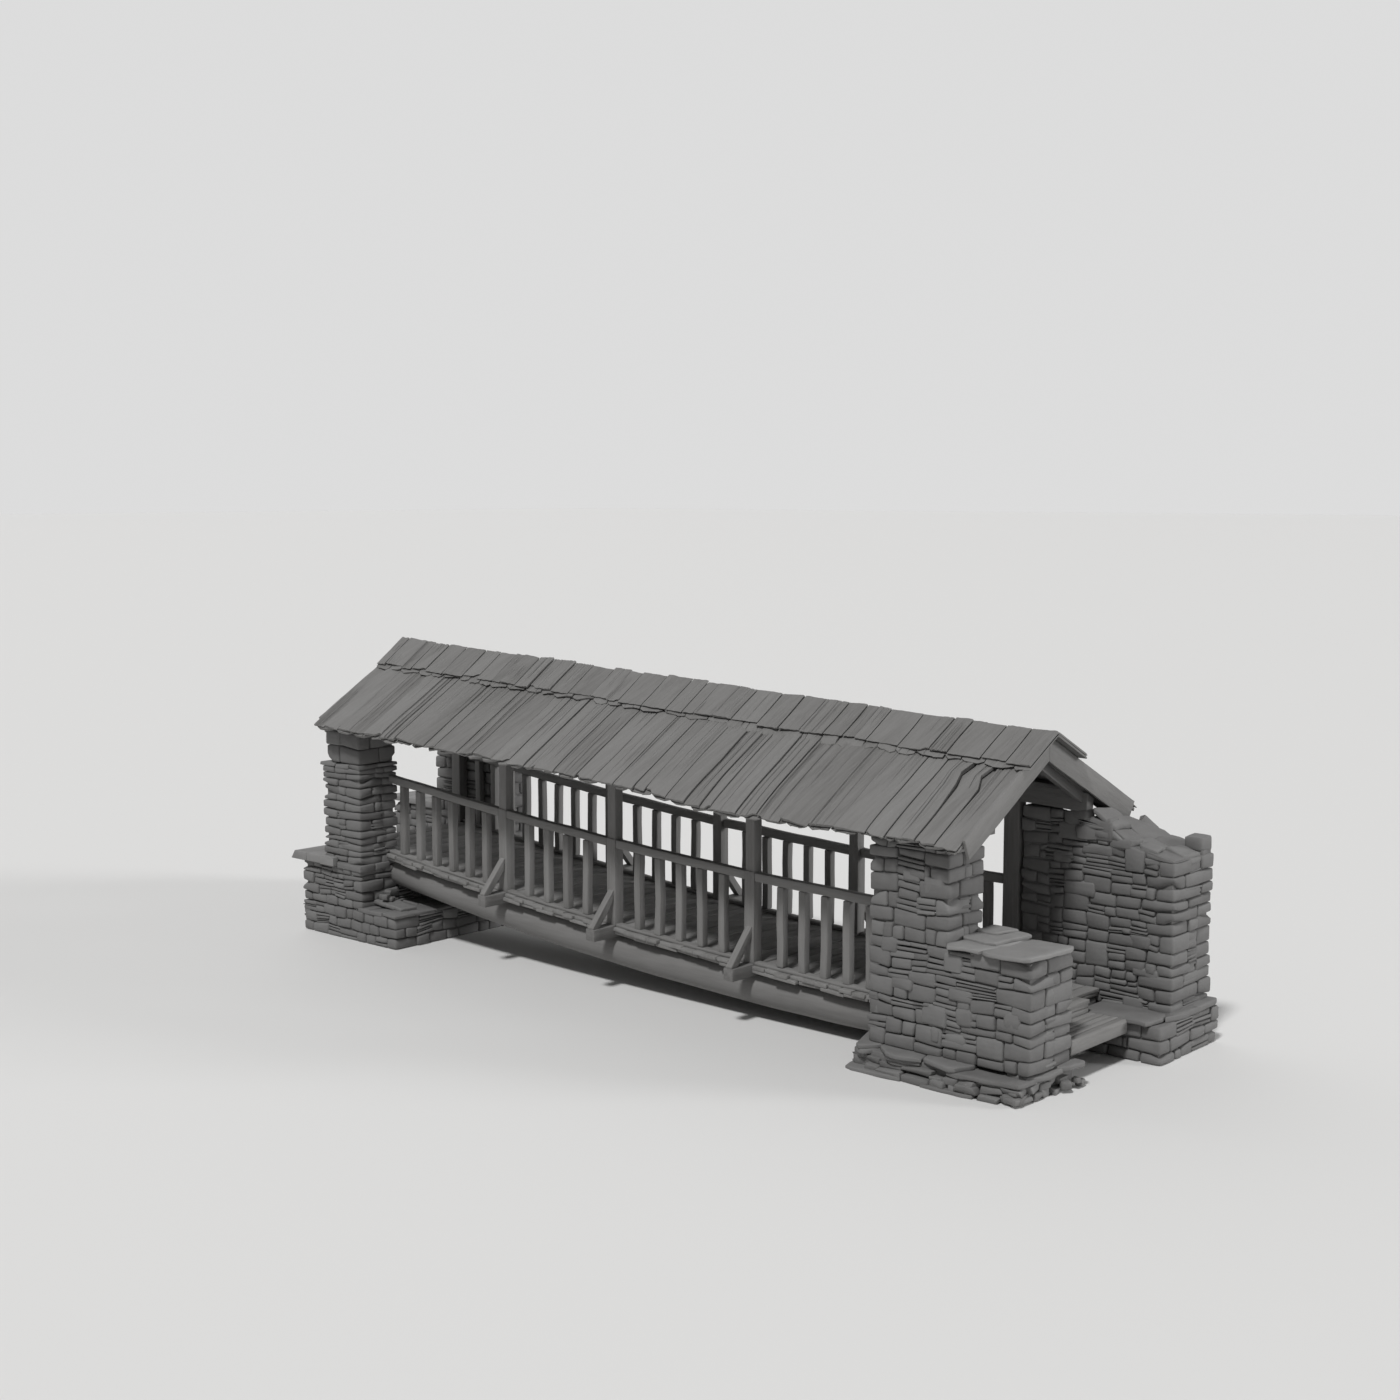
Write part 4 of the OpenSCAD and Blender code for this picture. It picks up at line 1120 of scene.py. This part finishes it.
def buildLeftEnd():
    face, front, back = walk["left"], leftEnd["front"], leftEnd["back"]
    base, apron, step, inner = (leftEnd[key] for key in ("outer", "apron", "step", "inner"))
    stones = layMass((base, -3.5635, -1.602, 1.70, 0, step), ("front", "right"), 11, None,
                     {"lift": (0.13, 0.16), "slivers": 0.40, "tall": 0.17, "wide": 0.42, "single": 0.24})
    stones += layMass((base, face, *inner, step, 1.12), ("left",), 12, quoins=False)
    stones += layMass((base, apron, -1.59, inner[1], 0, step), ("left", "back"), 14)
    stones += layMass((apron, face, *inner, step, 0.655), ("right",), 13, quoins=False)
    stones += layMass((-4.3915, -3.58, 0.2, 1.70, 0, step), ("back",), 15, quoins=False)
    stones += layTop(apron, -3.545, -1.62, 1.71, 0.483, 16, 0.052, 0.36)
    masonry("left_abutment", stones)

    buildBank("front", 1)
    buildBank("back", -1)

    fine = {"lift": (0.17, 0.28), "slivers": 0.36, "tall": 0.13, "wide": 0.46, "single": 0.17}
    stones = layMass((base, face, front, back, 0.44, 1.03), allAround, 31, None, fine)
    stones += layMass((leftEnd["band"], face, front, back, 1.03, 2.44), allAround, 32, None, fine)
    stones += layMass((leftEnd["upper"], face, front, back, 2.50, 3.2), allAround, 33, roofUnder,
                      {"lift": (0.28, 0.34), "slivers": 0.15, "tall": 0.17})
    stones += layTop(leftEnd["shoulder"], face + 0.012, front - 0.018, back + 0.004, 2.50, 34, 0.06, 0.3)
    stones += layTop(-4.82, face + 0.028, front - 0.03, -1.09, 1.088, 35, 0.08, 0.36, tilt=0.006)
    masonry("front_left_pier", stones)
    buildLeftCap()

    stones = layMass((*leftEnd["backPier"], 0, 2.69), allAround, 51,
                     lambda x, y: min(freeRoofUnder(x, y), 2.70))
    stones += layTop(*leftEnd["backPier"], 2.745, 52, 0.06, 0.36, freeRoofUnder, 0.006)
    masonry("back_left_pier", stones)
    masonry("back_left_wing", layMass((-6.8818, -5.8418, 1.11, 1.69, 0, 1.40), ("front", "left", "back"), 53))
    masonry("back_left_cap", layTop(-6.972, -5.8418, 1.06, 1.79, 1.512, 54, 0.10, 0.42, None, 0.004),
            "capStone")


# each cap slab has its outline, its low and high level, seed, roughness, sag, worn edge and lean
rightEnd = {
    "wing": 5.5706,
    "wingEnd": 6.6008,
    "front": -1.602,
    "pierBack": -0.931,
    "wingBack": -0.78,
    "bed": 0.275,
    "wingTop": 1.48,
    "boulders": (
        (5.38, 2.13, 0.135, 0.105), (5.09, 2.21, 0.110, 0.070), (5.64, 1.32, 0.120, 0.120),
        (6.03, 1.42, 0.190, 0.085), (5.73, 1.00, 0.150, 0.075), (5.40, 0.72, 0.170, 0.120),
        (5.79, 0.76, 0.110, 0.100), (5.42, 0.51, 0.060, 0.080), (5.67, 0.50, 0.140, 0.070),
        (6.38, 0.84, 0.100, 0.100), (4.80, 1.40, 0.120, 0.090), (4.98, 1.00, 0.150, 0.070),
    ),
    "cap": (
        (((5.555, -1.692), (6.02, -1.675), (6.10, -1.30), (6.06, -0.75), (5.575, -0.745), (5.575, -1.58)),
         1.500, 1.548, 101, 0.006, 0.010),
        (((5.97, -1.60), (6.12, -1.690), (6.45, -1.692), (6.62, -1.692), (6.655, -1.30), (6.64, -0.75),
          (6.02, -0.745), (5.93, -1.2)), 1.488, 1.540, 102, 0.007, 0.0, 0.5, (0.02, -0.03)),
        (((5.575, -1.35), (5.92, -1.42), (6.02, -1.38), (6.10, -0.75), (5.575, -0.745)),
         1.540, 1.578, 103, 0.005, 0, 0.4),
        (((5.575, -1.06), (5.84, -1.10), (5.92, -0.75), (5.575, -0.745)), 1.574, 1.604, 105, 0.004, 0, 0.4),
    ),
}


def buildRightEnd():
    face, wing, front, top = walk["right"], rightEnd["wing"], rightEnd["front"], rightEnd["wingTop"]
    low = (rightEnd["bed"], top)
    masonry("right_abutment", layMass((face + 0.01, 5.92, -0.90, 0.92, 0, 0.52), ("left", "right"), 61, None,
                                      {"lift": (0.12, 0.2)}, quoins=False))

    both = layMass((face, rightEnd["wingEnd"], front, rightEnd["wingBack"], *low), ("front", "right", "back"),
                   78, None, {"lift": (0.30, 0.44), "slivers": 0.36})
    both += boulders(rightEnd["boulders"], front, 760, roofUnder)
    pier, outer = halves(both, wing)
    pier += layMass((face, wing, front, rightEnd["pierBack"], *low), ("left",), 79, quoins=False)
    pier += layMass((face, wing, front, rightEnd["pierBack"], top, 2.9), allAround, 71, roofUnder,
                    {"lift": (0.30, 0.42), "slivers": 0.34})
    masonry("front_right_pier", pier)
    masonry("front_right_wing", outer)

    cap = []
    for stone in rightEnd["cap"]:
        cap += slab(*stone)
    masonry("front_right_cap", cap, "capStone")


# rows: low, high and set-back along the line; flats: outline, low and high; lumps: place and half width
ledge = {
    "rows": ((0.0, 0.10, 0.00), (0.09, 0.17, 0.035)),
    "line": ((4.36, -0.70), (4.36, -1.25), (4.42, -1.72), (4.78, -1.80), (5.12, -1.82), (5.50, -1.865),
             (5.85, -1.865), (6.10, -1.86), (6.36, -1.83), (6.61, -1.78), (6.62, -1.35), (6.64, -0.86)),
    "core": (4.42, 6.56, -1.72, -0.66, 0, 0.235),
    "limit": -1.862,
    "flats": (
        (((4.31, -1.30), (4.44, -1.70), (4.56, -1.82), (4.72, -1.60), (4.76, -1.40), (4.60, -1.02),
          (4.34, -1.0)), 0.235, 0.290),
        (((4.32, -1.35), (4.46, -1.76), (4.62, -1.80), (4.74, -1.58), (4.56, -1.15), (4.36, -1.1)),
         0.185, 0.236),
        (((4.34, -1.38), (4.46, -1.74), (4.60, -1.76), (4.70, -1.50), (4.40, -1.2)), 0.130, 0.186),
        (((4.70, -1.62), (4.66, -1.34), (4.92, -1.20), (5.26, -1.46), (5.36, -1.74), (5.14, -1.82),
          (4.94, -1.83)), 0.232, 0.284),
        (((4.74, -1.60), (4.70, -1.40), (5.00, -1.30), (5.30, -1.50), (5.34, -1.73), (5.12, -1.79),
          (4.92, -1.80)), 0.190, 0.233),
        (((4.76, -1.60), (4.74, -1.40), (5.02, -1.30), (5.28, -1.50), (5.32, -1.71), (5.12, -1.77),
          (4.94, -1.78)), 0.146, 0.191),
        (((5.36, -1.73), (5.26, -1.40), (5.55, -1.20), (5.80, -1.22), (5.94, -1.62), (5.82, -1.84),
          (5.60, -1.80)), 0.225, 0.290),
        (((5.70, -1.80), (5.84, -1.48), (6.00, -1.20), (6.40, -1.20), (6.612, -1.45), (6.60, -1.77),
          (6.24, -1.80), (5.96, -1.84)), 0.185, 0.240),
        (((5.80, -1.76), (5.90, -1.48), (6.38, -1.30), (6.58, -1.50), (6.54, -1.72), (6.20, -1.77)),
         0.140, 0.186),
        (((6.30, -1.56), (6.56, -1.58), (6.66, -1.30), (6.64, -0.90), (6.40, -0.80), (6.20, -1.2)),
         0.215, 0.270),
        (((6.42, -1.00), (6.60, -1.10), (6.715, -0.95), (6.72, -0.66), (6.50, -0.63)), 0.230, 0.290),
        (((4.33, -0.80), (4.33, -1.10), (4.70, -1.20), (4.90, -0.9), (4.7, -0.66)), 0.225, 0.280),
        (((4.40, -1.90), (4.36, -1.60), (4.70, -1.55), (5.10, -1.70), (5.14, -1.868), (4.80, -1.868)),
         0.0, 0.045),
        (((5.40, -1.868), (5.40, -1.70), (5.80, -1.65), (6.05, -1.75), (6.06, -1.868)), 0.0, 0.040),
    ),
    "lumps": ((4.52, -1.62, 0.085, 0.11), (5.98, -1.74, 0.095, 0.09), (6.68, -0.80, 0.10, 0.045),
              (6.66, -0.98, 0.08, 0.06), (6.67, -0.70, 0.05, 0.05)),
}


def buildLedge():
    rng = random.Random(66)
    stones = []
    for low, high, push in ledge["rows"]:
        for (ax, ay), (bx, by) in zip(ledge["line"][:-1], ledge["line"][1:]):
            length = math.hypot(bx - ax, by - ay)
            yaw = math.atan2(by - ay, bx - ax)
            at = pick(rng, (-0.04, 0.03))
            while at < length - 0.04:
                run = min(pick(rng, (0.13, 0.52)), length - at)
                if length - at - run < 0.10:
                    run = length - at
                deep = pick(rng, (0.22, 0.30))
                inward = push + deep / 2 + pick(rng, (-0.02, 0.03))
                mx = ax + (bx - ax) * (at + run / 2) / length - math.sin(yaw) * inward
                my = ay + (by - ay) * (at + run / 2) / length + math.cos(yaw) * inward
                rise = pick(rng, (-0.024, 0.022))
                box = (mx - run / 2, mx + run / 2, my - deep / 2, my + deep / 2,
                       max(0, low + rise), high + rise)
                stones += stoneIn(box, rng, kind="full", turn=yaw + pick(rng, (-0.22, 0.22)), chips=0.7,
                                  roundness=0.036, pillow=0, proud=0, rough=0.012, loose=0.030)
                at += run
    stones += backing(ledge["core"], rng, roundness=0.02)
    for index, (outline, low, high) in enumerate(ledge["flats"]):
        outline = [(x, max(y, ledge["limit"])) for x, y in outline]
        stones += slab(outline, low, high, 640 + index, 0.008, 0.006)
    for index, (x, y, z, r) in enumerate(ledge["lumps"]):
        stones += lump((x, y, z), (r, r, min(z, r * 0.85)), 680 + index, index * 0.8)
    masonry("right_ledge", stones, "ledgeStone")


# top: the broken line of the wall's head; flats: outline, thickness and rise over that line;
# rubble and corner: place and half sizes
wall = {
    "face": 0.951,
    "top": ((5.86, 5.90, 6.04, 6.24, 6.70, 6.84), (2.64, 2.60, 2.47, 2.33, 2.21, 2.19)),
    "roofed": 5.95,
    "boulders": (
        (5.51, 2.40, 0.170, 0.110), (5.40, 2.09, 0.120, 0.080), (5.90, 2.44, 0.150, 0.120),
        (5.85, 2.21, 0.200, 0.060), (6.35, 0.49, 0.130, 0.100), (6.42, 1.23, 0.130, 0.085),
        (5.63, 1.74, 0.210, 0.090), (6.50, 0.88, 0.160, 0.060),
    ),
    "rubble": (
        (5.62, 1.02, 2.60, 0.13, 0.09, 0.085), (5.86, 1.06, 2.50, 0.16, 0.11, 0.09),
        (5.72, 1.00, 2.40, 0.15, 0.08, 0.10), (6.16, 1.06, 2.33, 0.16, 0.12, 0.07),
        (6.36, 1.10, 2.26, 0.15, 0.13, 0.055), (6.60, 1.08, 2.17, 0.16, 0.12, 0.045),
    ),
    "flats": (
        (((5.78, 0.945), (6.06, 0.95), (6.10, 1.28), (5.84, 1.36)), 0.07, 0.02),
        (((6.02, 0.99), (6.28, 0.98), (6.34, 1.36), (6.06, 1.38)), 0.06, 0.0),
        (((5.90, 1.32), (6.24, 1.30), (6.44, 1.56), (6.34, 1.85), (5.92, 1.85)), 0.09, 0.0),
        (((6.22, 1.10), (6.50, 1.04), (6.60, 1.38), (6.26, 1.46)), 0.06, 0.01),
        (((6.30, 1.42), (6.60, 1.36), (6.66, 1.66), (6.52, 1.85), (6.30, 1.85)), 0.07, 0.0),
        (((6.44, 0.965), (6.81, 0.96), (6.82, 1.26), (6.52, 1.34)), 0.055, 0.0),
        (((6.54, 1.28), (6.80, 1.22), (6.82, 1.56), (6.56, 1.62)), 0.07, 0.015),
        (((6.38, 0.97), (6.60, 0.98), (6.56, 1.18), (6.36, 1.20)), 0.045, 0.04),
    ),
    "foot": (
        (((5.96, 0.45), (6.40, 0.43), (6.80, 0.44), (6.86, 0.70), (6.84, 0.98), (6.3, 0.98), (5.97, 0.96)),
         0.435, 0.490, 93),
        (((6.78, 0.92), (6.90, 0.70), (6.945, 1.10), (6.95, 1.40), (6.80, 1.42)), 0.432, 0.500, 94),
        (((6.78, 1.40), (6.945, 1.38), (6.955, 1.86), (6.80, 1.86)), 0.436, 0.505, 95),
    ),
}


def brokenTop(x, y):
    level = float(np.interp(x, *wall["top"]))
    return min(level, roofUnder(x, y)) if x < wall["roofed"] else level


def buildWall():
    stones = layMass((4.850, 6.8315, wall["face"], 1.861, 0, 3.0), allAround, 81, brokenTop,
                     {"lift": (0.24, 0.38), "slivers": 0.36, "tall": 0.17})
    stones += boulders(wall["boulders"], wall["face"], 880, freeRoofUnder)
    stones += backing((4.858, 5.30, 0.970, 1.80, 0.0, 2.60), random.Random(89), brokenTop, 0.02)
    for index, (x, y, z, *half) in enumerate(wall["rubble"]):
        stones += lump((x, y, z), half, 820 + index, (index % 3 - 1) * 0.15, 0.01, freeRoofUnder)
    for index, (outline, thick, rise) in enumerate(wall["flats"]):
        x = sum(point[0] for point in outline) / len(outline)
        level = brokenTop(x, 1.4) + rise
        slope = (brokenTop(x + 0.1, 1.4) - brokenTop(x - 0.1, 1.4)) / 0.2
        stones += slab(outline, level - thick * 0.55, level + thick * 0.45, 840 + index, 0.010, 0, 0.6,
                       (max(slope, -0.6), 0), freeRoofUnder)
    stones += lump((6.70, 1.735, 2.30), (0.125, 0.14, 0.10), 871, 0.0, 0.012)
    stones += lump((6.72, 1.74, 2.20), (0.10, 0.13, 0.05), 872, 0.1, 0.01)
    masonry("back_right_wall", stones)

    stones = layMass((6.05, 6.943, 0.511, 1.861, 0, 0.43), ("front", "right", "left", "back"), 91, None,
                     {"lift": (0.13, 0.22), "slivers": 0.5})
    for stone in wall["foot"]:
        stones += slab(*stone, 0.006)
    masonry("back_right_foot", stones, "ledgeStone")


buildLeftEnd()
buildRightEnd()
buildLedge()
buildWall()
for source, _, _ in blocks.values():
    bpy.data.objects.remove(source)
print("stonework built")


# a pale floor under a grey sky; the camera sees the sky brighter than it lights
def layFloor():
    bpy.ops.object.select_all(action="DESELECT")
    bpy.ops.mesh.primitive_plane_add(size=view["floorSize"])
    floor = bpy.context.active_object
    floor.name = "floor"
    look = Look("paleFloor")
    look.surface.inputs["Base Color"].default_value = (*view["floor"], 1)
    look.surface.inputs["Roughness"].default_value = view["floorRoughness"]
    floor.data.materials.append(look.material)
    sky = bpy.data.worlds.new("sky")
    sky.use_nodes = True
    bpy.context.scene.world = sky
    tree = sky.node_tree
    back = tree.nodes["Background"]
    path = tree.nodes.new("ShaderNodeLightPath")
    mixed = tree.nodes.new("ShaderNodeMix")
    mixed.inputs[2].default_value = view["sky"]
    mixed.inputs[3].default_value = view["backdrop"]
    back.inputs["Color"].default_value = (1, 1, 1, 1)
    tree.links.new(path.outputs["Is Camera Ray"], mixed.inputs[0])
    tree.links.new(mixed.outputs[0], back.inputs["Strength"])


layFloor()
print("floor and sky made")
